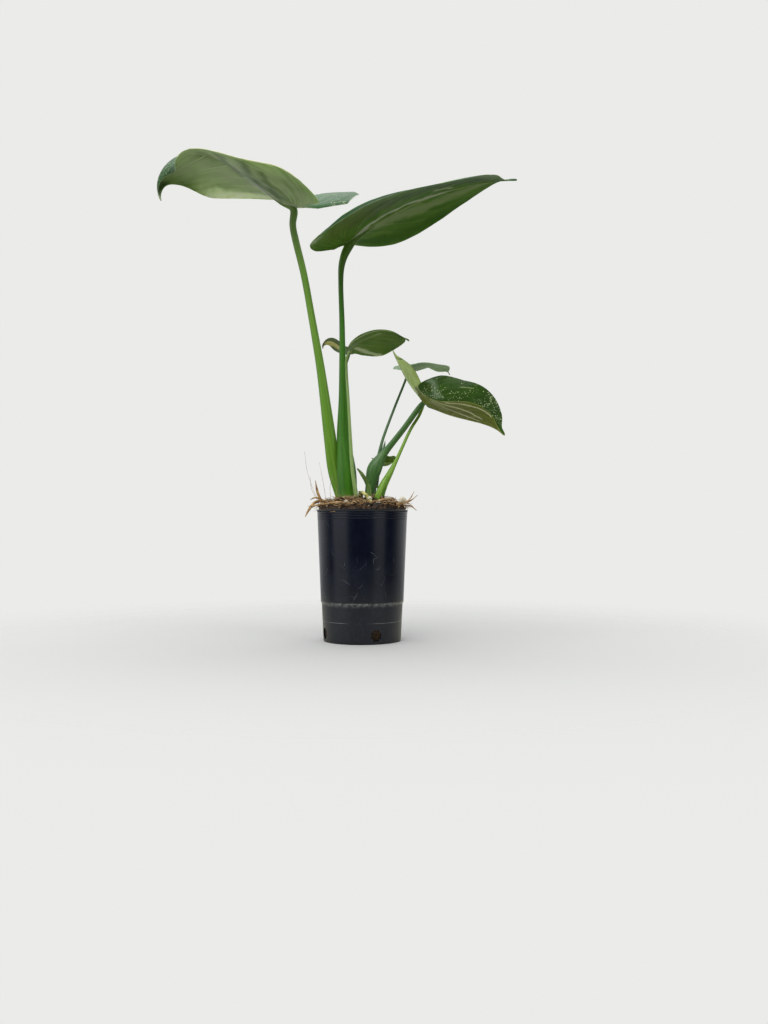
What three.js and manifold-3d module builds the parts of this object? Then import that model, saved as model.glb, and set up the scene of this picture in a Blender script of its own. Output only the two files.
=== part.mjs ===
// A young potted monstera: eight heart-shaped leaves on long stalks in a black nursery pot.
// Millimetres, +Z up. The origin is the centre of the pot's flat underside, and the front faces -Y.
import * as THREE from 'three';
import { mergeVertices } from 'three/addons/utils/BufferGeometryUtils.js';
import Module from 'manifold-3d';

const wasm = await Module();
wasm.setup();

// The clearance kept between pieces that touch, and how much wider than a stalk its hole in the mix is.
const GAP = 0.3;
const HOLE_ROOM = 0.9;

// Pot: tapered and thin-walled, with a narrower foot below a ledge and four drainage holes in its corner.
const POT_HEIGHT = 128;
const RIM_RADIUS = 45;
const SHOULDER_RADIUS = 44.4;
const LEDGE_RADIUS = 40.6;
const LEDGE_HEIGHT = 38;
const LEDGE_STEP = 0.8;
const FOOT_RADIUS = 38;
const FOOT_CHAMFER = 0.8;
const POT_WALL = 1.3;
const POT_FLOOR = 2;
const POT_SIDES = 40;
const RIM_RINGS = 3;
const RING_RISE = 0.35;
const RING_PITCH = 2.4;
const RING_TOP = 126.5;
const RIM_THICKNESS = 1;
const RIM_CHAMFER = 0.4;
const HOLE_WIDTH = 10;
const HOLE_REACH = 10;
const HOLE_BOTTOM = 3;
const HOLE_TOP = 13.5;
const HOLE_COUNT = 4;
const HOLE_TURN = 21.5;

// Potting mix: heaped a little above the rim, with bark, husk fibre and pale grit in its surface.
const MIX_EDGE = 129;
const MIX_CROWN = 137;
const MIX_ROUGHNESS = 1.1;
const MIX_RINGS = 5;
const MIX_SIDES = POT_SIDES;
const FIBRE_COUNT = 28;
const CHIP_COUNT = 12;
const GRIT_COUNT = 8;
const MIX_SEED = 20;

// Leaves: the stalk's foot stands in the mix at this height.
const STALK_FOOT = 114;
const STALK_SIDES = 8;
const STALK_DEPTH = 0.74;

// Half of a leaf's outline from the notch behind its stalk to the tip. The first number runs along the
// midrib in shares of the leaf's length, the second sideways in shares of half its width.
const HALF_OUTLINE = new THREE.SplineCurve([
  new THREE.Vector2(-0.09, 0.07),
  new THREE.Vector2(-0.2, 0.26),
  new THREE.Vector2(-0.205, 0.55),
  new THREE.Vector2(-0.11, 0.84),
  new THREE.Vector2(0.04, 0.98),
  new THREE.Vector2(0.21, 1),
  new THREE.Vector2(0.41, 0.92),
  new THREE.Vector2(0.62, 0.72),
  new THREE.Vector2(0.8, 0.4),
  new THREE.Vector2(0.905, 0.1),
  new THREE.Vector2(1, 0),
]);
// The share of the outline that belongs to the lobes behind the stalk, whose side lines fan out from it.
// Ahead of them the side lines leave the midrib one after another, set closer near the stalk.
const LOBE_SHARE = 0.42;
const LOBE_REACH = 0.2;
const SIDE_LINE_EASE = 1.15;
const COLUMN_SHARES = [0, 0.06, 0.3, 0.64, 1];
const MARGIN_WAVES = 3.2;
// How far the midrib stands out below the blade, at the stalk and at the tip.
const RIB_AT_STALK = 1.6;
const RIB_AT_TIP = 0.4;

// Each leaf in its real place. Angles are in degrees: heading and swing turn it about +Z from +X, pitch
// lifts it above the level, roll tips it over its midrib, fold raises each half, and curl bends it on
// towards its edge. Three numbers are the values at the leaf's start, its middle and its tip. A stalk
// is a list of points x, y, z with the stalk's width there, from the mix up to the blade.
const LEAVES = [
  {
    name: 'leaf_upper_left',
    colour: 0x6d8a4f,
    length: 197, width: 157, thickness: 0.9, wave: 1.4, rows: 24,
    heading: 166, swing: 8, pitch: [17, 26, -126], roll: [-7, -17, -7],
    left: { fold: [10, 0, -44], curl: [8, 6, -89], lobe: 0.84 },
    right: { fold: [54, -20, -63], curl: [-46, 0, -80], lobe: 1.3 },
    stalk: [
      [-18, 10, STALK_FOOT, 12], [-20, 9.5, 138, 12.5], [-28, 8, 167, 13], [-32, 2, 197, 12],
      [-37, -2, 236, 9.8], [-42, -4, 272, 8], [-50, -8, 319, 6.8], [-57, -11, 358, 6.6],
      [-65, -13, 391, 6.8], [-68, -14, 407, 6.6], [-66.7, -15, 426, 7.4],
    ],
  },
  {
    name: 'leaf_upper_right',
    colour: 0x4c6d33,
    length: 193, width: 138, thickness: 0.9, wave: 1.4, rows: 24,
    heading: 0, swing: 20, pitch: [36, 24, 7], roll: [28, 3, 17],
    left: { fold: [40, -5, 0], curl: [-24, -24, -33], lobe: 0.5 },
    right: { fold: [52, 7, 17], curl: [-43, -24, -67], lobe: 0.85 },
    stalk: [
      [-13.5, -1, STALK_FOOT, 13], [-14, -1, 138, 17], [-15.5, -1, 165, 19], [-19, -1, 202, 12.6],
      [-19, -1.5, 237, 9], [-19.6, -3, 272, 6.6], [-20, -6, 312, 5.4], [-21, -11, 350, 5],
      [-19.5, -14, 370, 6.6], [-15, -16, 389, 8.6],
    ],
  },
  {
    name: 'leaf_middle',
    colour: 0x3f5f2c,
    length: 70, width: 63, thickness: 0.8, wave: 0.8, rows: 18,
    heading: -21, swing: -20, pitch: [35, 0, -37], roll: [23, -23, -12],
    left: { fold: [20, 10, 3], curl: [-51, -24, 15], lobe: 0.35 },
    right: { fold: [4, -39, 20], curl: [-39, 13, -60], lobe: 0.2 },
    stalk: [
      [-4.8, -10.6, STALK_FOOT, 4.2], [-5.4, -11, 138, 4.4], [-9.5, -11.5, 168, 3.8], [-11.7, -10, 202, 3.2],
      [-13.7, -9, 237, 2.8], [-15.3, -11.4, 264, 2.6], [-14.8, -14.4, 276, 2.6], [-11.2, -17.1, 284.6, 3],
    ],
  },
  {
    name: 'leaf_half_hidden',
    colour: 0x7d8f62,
    length: 37, width: 22, thickness: 0.8, wave: 0.6, rows: 14,
    heading: 182, swing: -6, pitch: [14, 30, -120], roll: [0, 8, 10],
    left: { fold: [25, 10, -10], curl: [-10, -20, -20], lobe: 0.8 },
    right: { fold: [30, -10, -30], curl: [-10, -30, -30], lobe: 0.8 },
    stalk: [
      [-8.5, 11.5, STALK_FOOT, 3.2], [-9, 11.5, 138, 3.2], [-14, 12, 168, 2.8], [-18, 13, 202, 2.5],
      [-19.5, 15, 237, 2.2], [-18.5, 16.5, 268, 2], [-13.5, 17, 288, 2.4],
    ],
  },
  {
    name: 'leaf_lower_right',
    colour: 0x3d5a2b,
    length: 109, width: 80, thickness: 0.8, wave: 1.2, rows: 21,
    heading: -22, swing: -46, pitch: [-37, -16, -34], roll: [-1, 32, -27],
    left: { fold: [51, 51, 70], curl: [-5, -29, 14], lobe: 0.76 },
    right: { fold: [32, 60, 63], curl: [-26, -18, -41], lobe: 0.35 },
    stalk: [
      [6.5, 0, STALK_FOOT, 8], [7, 0, 138, 9], [8.5, 0, 153, 10], [12, 0, 168, 14],
      [18, 0, 179, 10], [24, -0.5, 187, 6.6], [40, -2.5, 207, 5.6], [60.5, -6.6, 234.4, 5.2],
    ],
  },
  {
    name: 'leaf_rolled',
    colour: 0xa3b56a,
    length: 61, width: 30, thickness: 0.8, wave: 0.5, rows: 14,
    heading: 173, swing: 0, pitch: [40, 61, 66], roll: [59, 52, 3],
    left: { fold: [71, 70, 55], curl: [25, 10, -14], lobe: 0.56 },
    right: { fold: [78, 79, 61], curl: [30, 10, 2], lobe: 0.56 },
    stalk: [
      [13.5, -9, STALK_FOOT, 7], [15, -9, 135, 7.6], [20, -8, 150, 8], [27, -6, 163.5, 5.8],
      [35, -4, 180, 3.5], [47, 0, 206.5, 3], [56.5, 2, 222.5, 3], [61.7, 3.5, 236.7, 3.2],
    ],
  },
  {
    name: 'leaf_back',
    colour: 0x7f9a72,
    length: 62, width: 47, thickness: 0.8, wave: 0.8, rows: 14,
    heading: 25, swing: 25, pitch: [5, 15, -50], roll: [8, 6, -3],
    left: { fold: [27, 23, -38], curl: [-39, -24, -10], lobe: 0.85 },
    right: { fold: [11, 7, -31], curl: [16, -4, -37], lobe: 0.85 },
    stalk: [
      [10, 9.5, STALK_FOOT, 5], [10.5, 9.5, 138, 5], [13.5, 9.5, 168, 4.4], [18.5, 11.5, 193, 3],
      [23.5, 16, 209.5, 2.7], [33.5, 23, 236.5, 2.5], [43, 29, 261, 2.4], [46, 32, 272, 2.8],
    ],
  },
  {
    name: 'leaf_small',
    colour: 0x5f7f36,
    length: 25, width: 19, thickness: 0.8, wave: 0.4, rows: 12,
    heading: 177, swing: 22, pitch: [-20, 8, 20], roll: [6, 27, 50],
    left: { fold: [20, 20, 27], curl: [-5, -12, -6], lobe: 0.5 },
    right: { fold: [27, 15, 18], curl: [-2, -21, 5], lobe: 0.5 },
    stalk: [
      [19.5, 4, STALK_FOOT, 2.8], [20, 6, 138, 2.6], [24, 11, 153, 2.2], [29, 16, 166, 1.9],
      [32.5, 19, 178.5, 2],
    ],
  },
];

// The finishes of the pot and what stands in it.
const BLACK_PLASTIC = new THREE.MeshStandardMaterial({ color: 0x14161c, roughness: 0.32, metalness: 0 });
const DARK_MIX = new THREE.MeshStandardMaterial({ color: 0x4a3526, roughness: 0.95, metalness: 0 });
const PALE_ROOT = new THREE.MeshStandardMaterial({ color: 0xb9a868, roughness: 0.7, metalness: 0 });
const DRY_SHEATH = new THREE.MeshStandardMaterial({ color: 0x6b5338, roughness: 0.85, metalness: 0 });

const group = new THREE.Group();

function place(name, geometry, material) {
  const mesh = new THREE.Mesh(geometry, material);
  mesh.name = name;
  group.add(mesh);
}

function solidOf(geometry) {
  const bare = geometry.clone();
  bare.deleteAttribute('normal');
  bare.deleteAttribute('uv');
  const merged = mergeVertices(bare);
  return new wasm.Manifold(new wasm.Mesh({
    numProp: 3,
    vertProperties: new Float32Array(merged.attributes.position.array),
    triVerts: new Uint32Array(merged.index.array),
  }));
}

function geometryOf(solid) {
  const mesh = solid.getMesh();
  const geometry = new THREE.BufferGeometry();
  geometry.setAttribute('position', new THREE.Float32BufferAttribute(mesh.vertProperties, 3));
  geometry.setIndex(Array.from(mesh.triVerts));
  return geometry;
}

// The largest of the bodies that a cut leaves.
function mainBody(solid) {
  return solid.decompose().reduce((best, body) => (body.volume() > best.volume() ? body : best));
}

// A smooth curve through three values, at 0, 0.5 and 1.
function blend([start, middle, end], t) {
  return start + (4 * middle - 3 * start - end) * t + 2 * (start + end - 2 * middle) * t * t;
}

function clamp(value) {
  return Math.min(Math.max(value, 0), 1);
}

// Random numbers from a fixed seed, so that the mix is the same each time.
function seeded(seed) {
  let state = seed;
  return (low, high) => {
    state = (state * 16807) % 2147483647;
    return low + (high - low) * (state / 2147483647);
  };
}

// A turned shape about +Z from a profile of radii and heights.
function turned(profile, sides) {
  const points = profile.map(([radius, height]) => new THREE.Vector2(radius, height));
  return new THREE.LatheGeometry(points, sides).rotateX(Math.PI / 2);
}

// A closed tube with oval sections along a smooth curve through points x, y, z and width. The width is
// measured across the view from the front, and the section is less deep than wide.
function stalkGeometry(points, { sides = STALK_SIDES, depth = STALK_DEPTH, extra = 0, steps = 2 } = {}) {
  const route = points.map(([x, y, z]) => new THREE.Vector3(x, y, z));
  const curve = new THREE.CatmullRomCurve3(route, false, 'catmullrom', 0.5);
  const spans = points.length - 1;
  const rings = spans * steps;
  const positions = [];
  const indices = [];
  for (let ring = 0; ring <= rings; ring += 1) {
    const t = ring / rings;
    const span = Math.min(Math.floor(t * spans), spans - 1);
    const share = t * spans - span;
    const width = points[span][3] + (points[span + 1][3] - points[span][3]) * share + extra;
    const centre = curve.getPoint(t);
    const along = curve.getTangent(t);
    const across = new THREE.Vector3(0, 1, 0).cross(along).normalize();
    const deep = new THREE.Vector3().crossVectors(along, across);
    for (let side = 0; side < sides; side += 1) {
      const angle = (2 * Math.PI * side) / sides;
      const point = centre.clone()
        .addScaledVector(across, (width / 2) * Math.cos(angle))
        .addScaledVector(deep, ((width - extra) * depth + extra) / 2 * Math.sin(angle));
      positions.push(point.x, point.y, point.z);
    }
  }
  for (let ring = 0; ring < rings; ring += 1) {
    for (let side = 0; side < sides; side += 1) {
      const a = ring * sides + side;
      const b = ring * sides + (side + 1) % sides;
      indices.push(a, b, b + sides, a, b + sides, a + sides);
    }
  }
  for (let side = 1; side < sides - 1; side += 1) {
    const last = rings * sides;
    indices.push(0, side + 1, side, last, last + side, last + side + 1);
  }
  const geometry = new THREE.BufferGeometry();
  geometry.setAttribute('position', new THREE.Float32BufferAttribute(positions, 3));
  geometry.setIndex(indices);
  return geometry;
}

// Directions at a share of the leaf's length: along the midrib, to its left and up out of the leaf. The
// lobes lie behind the midrib's start, so roll, fold and curl run from there and pitch from the stalk.
function leafFrame(leaf, share) {
  const ahead = clamp(share);
  const whole = clamp((share + LOBE_REACH) / (1 + LOBE_REACH));
  const pitch = THREE.MathUtils.degToRad(blend(leaf.pitch, ahead));
  const heading = THREE.MathUtils.degToRad(leaf.heading + leaf.swing * ahead);
  const roll = THREE.MathUtils.degToRad(blend(leaf.roll, whole));
  const along = new THREE.Vector3(
    Math.cos(heading) * Math.cos(pitch), Math.sin(heading) * Math.cos(pitch), Math.sin(pitch));
  const level = new THREE.Vector3(-Math.sin(heading), Math.cos(heading), 0);
  const raised = new THREE.Vector3().crossVectors(along, level);
  const left = level.clone().multiplyScalar(Math.cos(roll)).addScaledVector(raised, Math.sin(roll));
  const up = raised.clone().multiplyScalar(Math.cos(roll)).addScaledVector(level, -Math.sin(roll));
  return { along, left, up, whole };
}

// Points of the midrib from behind the lobes to the tip, stepped along its changing direction.
function midribOf(leaf) {
  const steps = 40;
  const behind = 0.25;
  const size = (1 + behind) / steps;
  const points = [new THREE.Vector3()];
  for (let step = 0; step < steps; step += 1) {
    const { along } = leafFrame(leaf, (step + 0.5) * size - behind);
    points.push(points[step].clone().addScaledVector(along, size * leaf.length));
  }
  const pointAt = (share) => {
    const spot = clamp((share + behind) / (1 + behind)) * steps;
    const step = Math.min(Math.floor(spot), steps - 1);
    return points[step].clone().lerp(points[step + 1], spot - step);
  };
  const start = new THREE.Vector3(...leaf.stalk[leaf.stalk.length - 1].slice(0, 3));
  const shift = start.sub(pointAt(0));
  return (share) => pointAt(share).add(shift);
}

// A point of the blade's middle surface: share along the midrib, reach out from it in millimetres.
function bladePoint(leaf, midrib, side, share, reach, edge, row) {
  const half = side > 0 ? leaf.left : leaf.right;
  const { left, up, whole } = leafFrame(leaf, share);
  const fold = THREE.MathUtils.degToRad(blend(half.fold, whole));
  const curl = THREE.MathUtils.degToRad(blend(half.curl, whole)) / (leaf.width / 2) || 1e-6;
  const out = (Math.sin(fold + curl * reach) - Math.sin(fold)) / curl;
  const rise = (Math.cos(fold) - Math.cos(fold + curl * reach)) / curl;
  const wave = leaf.wave * Math.sin(2 * Math.PI * MARGIN_WAVES * row + side) * edge * edge;
  return midrib(share).addScaledVector(left, side * out).addScaledVector(up, rise + wave);
}

// The blade as a closed sheet: the same triangles on both faces, joined round the edge, with the
// midrib standing out below.
function bladeGeometry(leaf) {
  const midrib = midribOf(leaf);
  const tops = [];
  const bottoms = [];
  const triangles = [];
  const numbers = new Map();
  const rows = leaf.rows;
  const columns = COLUMN_SHARES.length - 1;
  const footOf = (row) => clamp((row / rows - LOBE_SHARE) / (1 - LOBE_SHARE)) ** SIDE_LINE_EASE;
  const keyOf = (side, row, column) => {
    if (row === rows) return 'tip';
    if (column === 0) return `rib ${footOf(row).toFixed(4)}`;
    return `${side} ${row} ${column}`;
  };
  const surface = (side, row, column) => {
    const half = side > 0 ? leaf.left : leaf.right;
    const edge = COLUMN_SHARES[column];
    const margin = HALF_OUTLINE.getPoint(row / rows);
    const marginShare = margin.x < 0 ? margin.x * half.lobe : margin.x;
    const share = footOf(row) + (marginShare - footOf(row)) * edge;
    return bladePoint(leaf, midrib, side, share, margin.y * edge * leaf.width / 2, edge, row / rows);
  };
  const normalAt = (side, row, column) => {
    if (column === 0 || row === rows) return leafFrame(leaf, footOf(row)).up;
    const before = surface(side, Math.max(row - 1, 0), column);
    const inner = surface(side, row, column - 1);
    const ahead = surface(side, Math.min(row + 1, rows), column).sub(before);
    const out = surface(side, row, Math.min(column + 1, columns)).sub(inner);
    return ahead.cross(out).multiplyScalar(side).normalize();
  };
  const number = (side, row, column) => {
    const key = keyOf(side, row, column);
    if (!numbers.has(key)) {
      const normal = normalAt(side, row, column);
      const point = surface(side, row, column);
      const onRib = column === 0 && row < rows;
      const ribRise = onRib ? RIB_AT_STALK + (RIB_AT_TIP - RIB_AT_STALK) * footOf(row) : 0;
      numbers.set(key, tops.length);
      tops.push(point.clone().addScaledVector(normal, leaf.thickness / 2));
      bottoms.push(point.clone().addScaledVector(normal, -leaf.thickness / 2 - ribRise));
    }
    return numbers.get(key);
  };
  const addTriangle = (a, b, c) => {
    if (a !== b && b !== c && c !== a) triangles.push([a, b, c]);
  };
  for (const side of [1, -1]) {
    for (let row = 0; row < rows; row += 1) {
      for (let column = 0; column < columns; column += 1) {
        const a = number(side, row, column);
        const b = number(side, row + 1, column);
        const c = number(side, row + 1, column + 1);
        const d = number(side, row, column + 1);
        if (side > 0) {
          addTriangle(a, b, c);
          addTriangle(a, c, d);
        } else {
          addTriangle(a, c, b);
          addTriangle(a, d, c);
        }
      }
    }
  }
  return closedSheet(tops, bottoms, triangles);
}

// Two matching faces joined along the edges that only one triangle has.
function closedSheet(tops, bottoms, triangles) {
  const count = tops.length;
  const edges = new Set();
  const indices = [];
  for (const [a, b, c] of triangles) {
    indices.push(a, b, c, a + count, c + count, b + count);
    edges.add(`${a} ${b}`).add(`${b} ${c}`).add(`${c} ${a}`);
  }
  for (const edge of edges) {
    const [a, b] = edge.split(' ').map(Number);
    if (!edges.has(`${b} ${a}`)) indices.push(b, a, a + count, b, a + count, b + count);
  }
  const geometry = new THREE.BufferGeometry();
  geometry.setAttribute('position', new THREE.Float32BufferAttribute(
    [...tops, ...bottoms].flatMap((point) => [point.x, point.y, point.z]), 3));
  geometry.setIndex(indices);
  return geometry;
}

// The stalk bends in under the blade and runs on as the thick start of its midrib. Each of these points
// is a share along the midrib, its width in shares of the stalk's, and how far it lies below in widths.
const UNDER_BLADE = [[0, 1, 0.45], [0.07, 0.6, 0.3], [0.17, 0.3, 0.3]];

function fullStalk(leaf) {
  const midrib = midribOf(leaf);
  const [top] = leaf.stalk.slice(-1);
  const under = UNDER_BLADE.map(([share, part, below]) => {
    const width = top[3] * part;
    const point = midrib(share).addScaledVector(leafFrame(leaf, share).up, -width * below);
    return [point.x, point.y, point.z, width];
  });
  return [...leaf.stalk.slice(0, -1), ...under];
}

function buildLeaves() {
  for (const leaf of LEAVES) {
    const whole = solidOf(bladeGeometry(leaf)).add(solidOf(stalkGeometry(fullStalk(leaf))));
    const material = new THREE.MeshStandardMaterial({ color: leaf.colour, roughness: 0.45, metalness: 0 });
    place(leaf.name, geometryOf(mainBody(whole)), material);
  }
}

// The outer radius of the pot at a height on its plain wall.
function potRadius(height) {
  if (height < LEDGE_HEIGHT) {
    const top = LEDGE_RADIUS - LEDGE_STEP;
    return FOOT_RADIUS + (top - FOOT_RADIUS) * height / LEDGE_HEIGHT;
  }
  const share = (height - LEDGE_HEIGHT) / (POT_HEIGHT - LEDGE_HEIGHT);
  return LEDGE_RADIUS + (SHOULDER_RADIUS - LEDGE_RADIUS) * share;
}

// The inside of the pot's wall at a height, less a clearance for what fills it.
function innerRadius(height, clearance = 0) {
  return potRadius(height) - POT_WALL - clearance;
}

function buildPot() {
  const profile = [
    [0, 0],
    [FOOT_RADIUS - FOOT_CHAMFER, 0],
    [FOOT_RADIUS, FOOT_CHAMFER],
    [LEDGE_RADIUS - LEDGE_STEP, LEDGE_HEIGHT - LEDGE_STEP],
    [LEDGE_RADIUS, LEDGE_HEIGHT],
  ];
  for (let ring = RIM_RINGS; ring > 0; ring -= 1) {
    const height = RING_TOP - ring * RING_PITCH;
    const radius = potRadius(height);
    profile.push([radius, height - RING_PITCH / 3]);
    profile.push([radius + RING_RISE, height]);
    profile.push([radius, height + RING_PITCH / 3]);
  }
  profile.push([RIM_RADIUS, POT_HEIGHT - RIM_THICKNESS], [RIM_RADIUS - RIM_CHAMFER, POT_HEIGHT]);
  for (const height of [POT_HEIGHT, LEDGE_HEIGHT, LEDGE_HEIGHT - 1, POT_FLOOR]) {
    profile.push([innerRadius(height), height]);
  }
  profile.push([0, POT_FLOOR]);
  let pot = solidOf(turned(profile, POT_SIDES));
  for (let hole = 0; hole < HOLE_COUNT; hole += 1) {
    const turn = THREE.MathUtils.degToRad(HOLE_TURN - 90 + hole * 360 / HOLE_COUNT);
    const box = new THREE.BoxGeometry(HOLE_REACH, HOLE_WIDTH, HOLE_TOP - HOLE_BOTTOM);
    box.translate(FOOT_RADIUS, 0, (HOLE_TOP + HOLE_BOTTOM) / 2).rotateZ(turn);
    pot = pot.subtract(solidOf(box));
  }
  place('pot', geometryOf(pot), BLACK_PLASTIC);
}

// The height of the mix at a place, heaped to the middle with shallow lumps.
function mixHeight(x, y) {
  const share = Math.hypot(x, y) / RIM_RADIUS;
  const lumps = Math.sin(x * 0.31 + 1) * Math.cos(y * 0.27) + 0.7 * Math.sin(x * 0.13 - y * 0.19);
  return MIX_EDGE + (MIX_CROWN - MIX_EDGE) * (1 - share * share) + MIX_ROUGHNESS * lumps;
}

function mixBody() {
  const positions = [0, 0, mixHeight(0, 0)];
  const indices = [];
  const rings = [];
  for (let ring = 1; ring <= MIX_RINGS; ring += 1) {
    rings.push([innerRadius(POT_HEIGHT, GAP) * ring / MIX_RINGS, null]);
  }
  rings.push([innerRadius(LEDGE_HEIGHT, GAP), LEDGE_HEIGHT]);
  rings.push([innerRadius(LEDGE_HEIGHT - 1, GAP), LEDGE_HEIGHT - 1]);
  rings.push([innerRadius(POT_FLOOR, GAP), POT_FLOOR + GAP]);
  rings.forEach(([radius, height], ring) => {
    for (let side = 0; side < MIX_SIDES; side += 1) {
      const angle = (2 * Math.PI * side) / MIX_SIDES;
      const x = radius * Math.cos(angle);
      const y = radius * Math.sin(angle);
      positions.push(x, y, height ?? mixHeight(x, y));
      const a = 1 + ring * MIX_SIDES + side;
      const b = 1 + ring * MIX_SIDES + (side + 1) % MIX_SIDES;
      if (ring === 0) indices.push(0, a, b);
      else indices.push(a - MIX_SIDES, a, b, a - MIX_SIDES, b, b - MIX_SIDES);
    }
  });
  const bottom = positions.length / 3;
  positions.push(0, 0, POT_FLOOR + GAP);
  for (let side = 0; side < MIX_SIDES; side += 1) {
    const first = bottom - MIX_SIDES;
    indices.push(bottom, first + (side + 1) % MIX_SIDES, first + side);
  }
  const geometry = new THREE.BufferGeometry();
  geometry.setAttribute('position', new THREE.Float32BufferAttribute(positions, 3));
  geometry.setIndex(indices);
  return solidOf(geometry);
}

// A flat piece of bark, turned and sunk where it is put.
function chip(x, y, z, [long, wide, thick], [tilt, tip, turn]) {
  const box = new THREE.BoxGeometry(long, wide, thick);
  box.rotateX(tilt).rotateY(tip).rotateZ(turn).translate(x, y, z);
  return solidOf(box);
}

function fibre(points, width) {
  const route = points.map((point) => [...point, width]);
  return solidOf(stalkGeometry(route, { sides: 4, depth: 0.8, steps: 1 }));
}

// A place on the mix between two radii, with its angle about the middle.
function spotOn(random, low, high) {
  const angle = random(0, 2 * Math.PI);
  const radius = random(low, high);
  return { angle, x: radius * Math.cos(angle), y: radius * Math.sin(angle) };
}

// A fibre that leaves the mix, arches over it and comes down again or ends in the air.
function archedFibre(random) {
  const { angle, x, y } = spotOn(random, 12, 38);
  const heading = angle + random(0.6, 2.6);
  const reach = random(9, 20);
  const rises = [[0, -2.5], [0.35, random(0.8, 2.6)], [0.7, random(1, 4)], [1, random(-2, 3)]];
  const route = rises.map(([share, rise]) => {
    const px = x + reach * share * Math.cos(heading);
    const py = y + reach * share * Math.sin(heading);
    return [px, py, mixHeight(px, py) + rise];
  });
  return fibre(route, random(0.9, 1.4));
}

function scatteredPieces() {
  const random = seeded(MIX_SEED);
  const pieces = [];
  for (let number = 0; number < FIBRE_COUNT; number += 1) pieces.push(archedFibre(random));
  for (let number = 0; number < CHIP_COUNT; number += 1) {
    const { x, y } = spotOn(random, 16, 37);
    const size = [random(7, 13), random(4, 7), random(2, 3.4)];
    const turns = [random(-0.5, 0.5), random(-0.5, 0.5), random(0, 3)];
    pieces.push(chip(x, y, mixHeight(x, y) + 0.3, size, turns));
  }
  for (let number = 0; number < GRIT_COUNT; number += 1) {
    const { x, y } = spotOn(random, 14, 40);
    const pebble = new THREE.IcosahedronGeometry(random(1.2, 2.2), 0);
    pieces.push(solidOf(pebble.translate(x, y, mixHeight(x, y) + 0.4)));
  }
  return pieces;
}

// The bark, clumps and slivers that stand out along the rim as seen from the front.
function rimPieces() {
  return [
    chip(-42, -5, 132.6, [11, 10, 8], [0.3, 0.2, 0.4]),
    chip(-27, -3, 139, [9.5, 8, 7], [0.4, 0.5, 0.7]),
    chip(37.5, -6, 133.5, [19, 12, 8], [0.15, -0.08, 0.1]),
    chip(36, -13, 134.5, [7.5, 4, 5], [0.2, -0.3, 0.2]),
    chip(8, -29, 134, [6, 5, 4], [0.3, 0.4, 1]),
    fibre([[-38, -8, 132], [-46, -9, 133.5], [-52, -10, 128], [-57, -10, 122.5]], 2.4),
    fibre([[-40, -12, 131], [-45, -13, 128.8], [-49, -14, 127.6]], 1.4),
    fibre([[-43, -5, 132], [-45, -5, 143], [-46.5, -5, 151.5]], 1.8),
    fibre([[42, -8, 131], [49, -9, 133.5], [55.5, -9, 140.5]], 1.1),
    fibre([[38, -14, 131.5], [46, -15, 129.8], [53, -15, 127.8]], 1.1),
  ];
}

// The crown that the stalks stand round, and the thick root that leaves it and enters the mix.
const CROWN = [[-2, 5, 100, 7], [-2, 5, 125, 7], [-1.6, 4, 147, 4.6]];
const ROOT = [
  [12, -30, 124, 3.2], [9, -24, 134.5, 3.4], [4, -15, 142, 3.5], [-0.2, -6, 145, 3.5],
  [-1.6, 3, 142, 3.4],
];
// A dried sheath stands between the stalks.
const SHEATH = [
  [6.5, -6.2, 122, 4.2], [7, -6.4, 146, 4.4], [4.4, -7.6, 155, 4], [0, -11.5, 162.5, 3.4],
  [-4.6, -14, 168, 1.6],
];
const SHEATH_DEPTH = 0.25;
const CLEARED_DEPTH = 14;

function buildCrown() {
  const crown = solidOf(stalkGeometry(CROWN)).add(solidOf(stalkGeometry(ROOT)));
  place('crown_and_root', geometryOf(crown), PALE_ROOT);
  place('dried_sheath', stalkGeometry(SHEATH, { depth: SHEATH_DEPTH }), DRY_SHEATH);
}

// The top of the pot's wall with its clearance, which the mix and what lies on it stay out of.
function potClearance() {
  const outer = RIM_RADIUS + GAP;
  const inner = innerRadius(POT_HEIGHT, GAP);
  const low = POT_HEIGHT - CLEARED_DEPTH;
  const lowInner = innerRadius(low, GAP);
  const high = POT_HEIGHT + GAP;
  const profile = [[lowInner, low], [outer, low], [outer, high], [inner, high], [lowInner, low]];
  return solidOf(turned(profile, POT_SIDES));
}

// A route whose buried end goes a little deeper, so that what stands in the hole has room below it.
function deepened([[x, y, z, width], ...rest]) {
  return [[x, y, z - GAP, width], ...rest];
}

function buildMix() {
  let mix = mixBody();
  for (const piece of [...scatteredPieces(), ...rimPieces()]) mix = mix.add(piece);
  mix = mix.subtract(potClearance());
  const stalks = LEAVES.map((leaf) => leaf.stalk.slice(0, 4));
  for (const route of [...stalks, CROWN, ROOT]) {
    mix = mix.subtract(solidOf(stalkGeometry(deepened(route), { extra: HOLE_ROOM })));
  }
  const sheathHole = stalkGeometry(deepened(SHEATH), { extra: HOLE_ROOM, depth: SHEATH_DEPTH });
  mix = mix.subtract(solidOf(sheathHole));
  place('potting_mix', geometryOf(mainBody(mix)), DARK_MIX);
}

buildPot();
buildMix();
buildCrown();
buildLeaves();

export default group;
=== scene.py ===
import math

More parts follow.
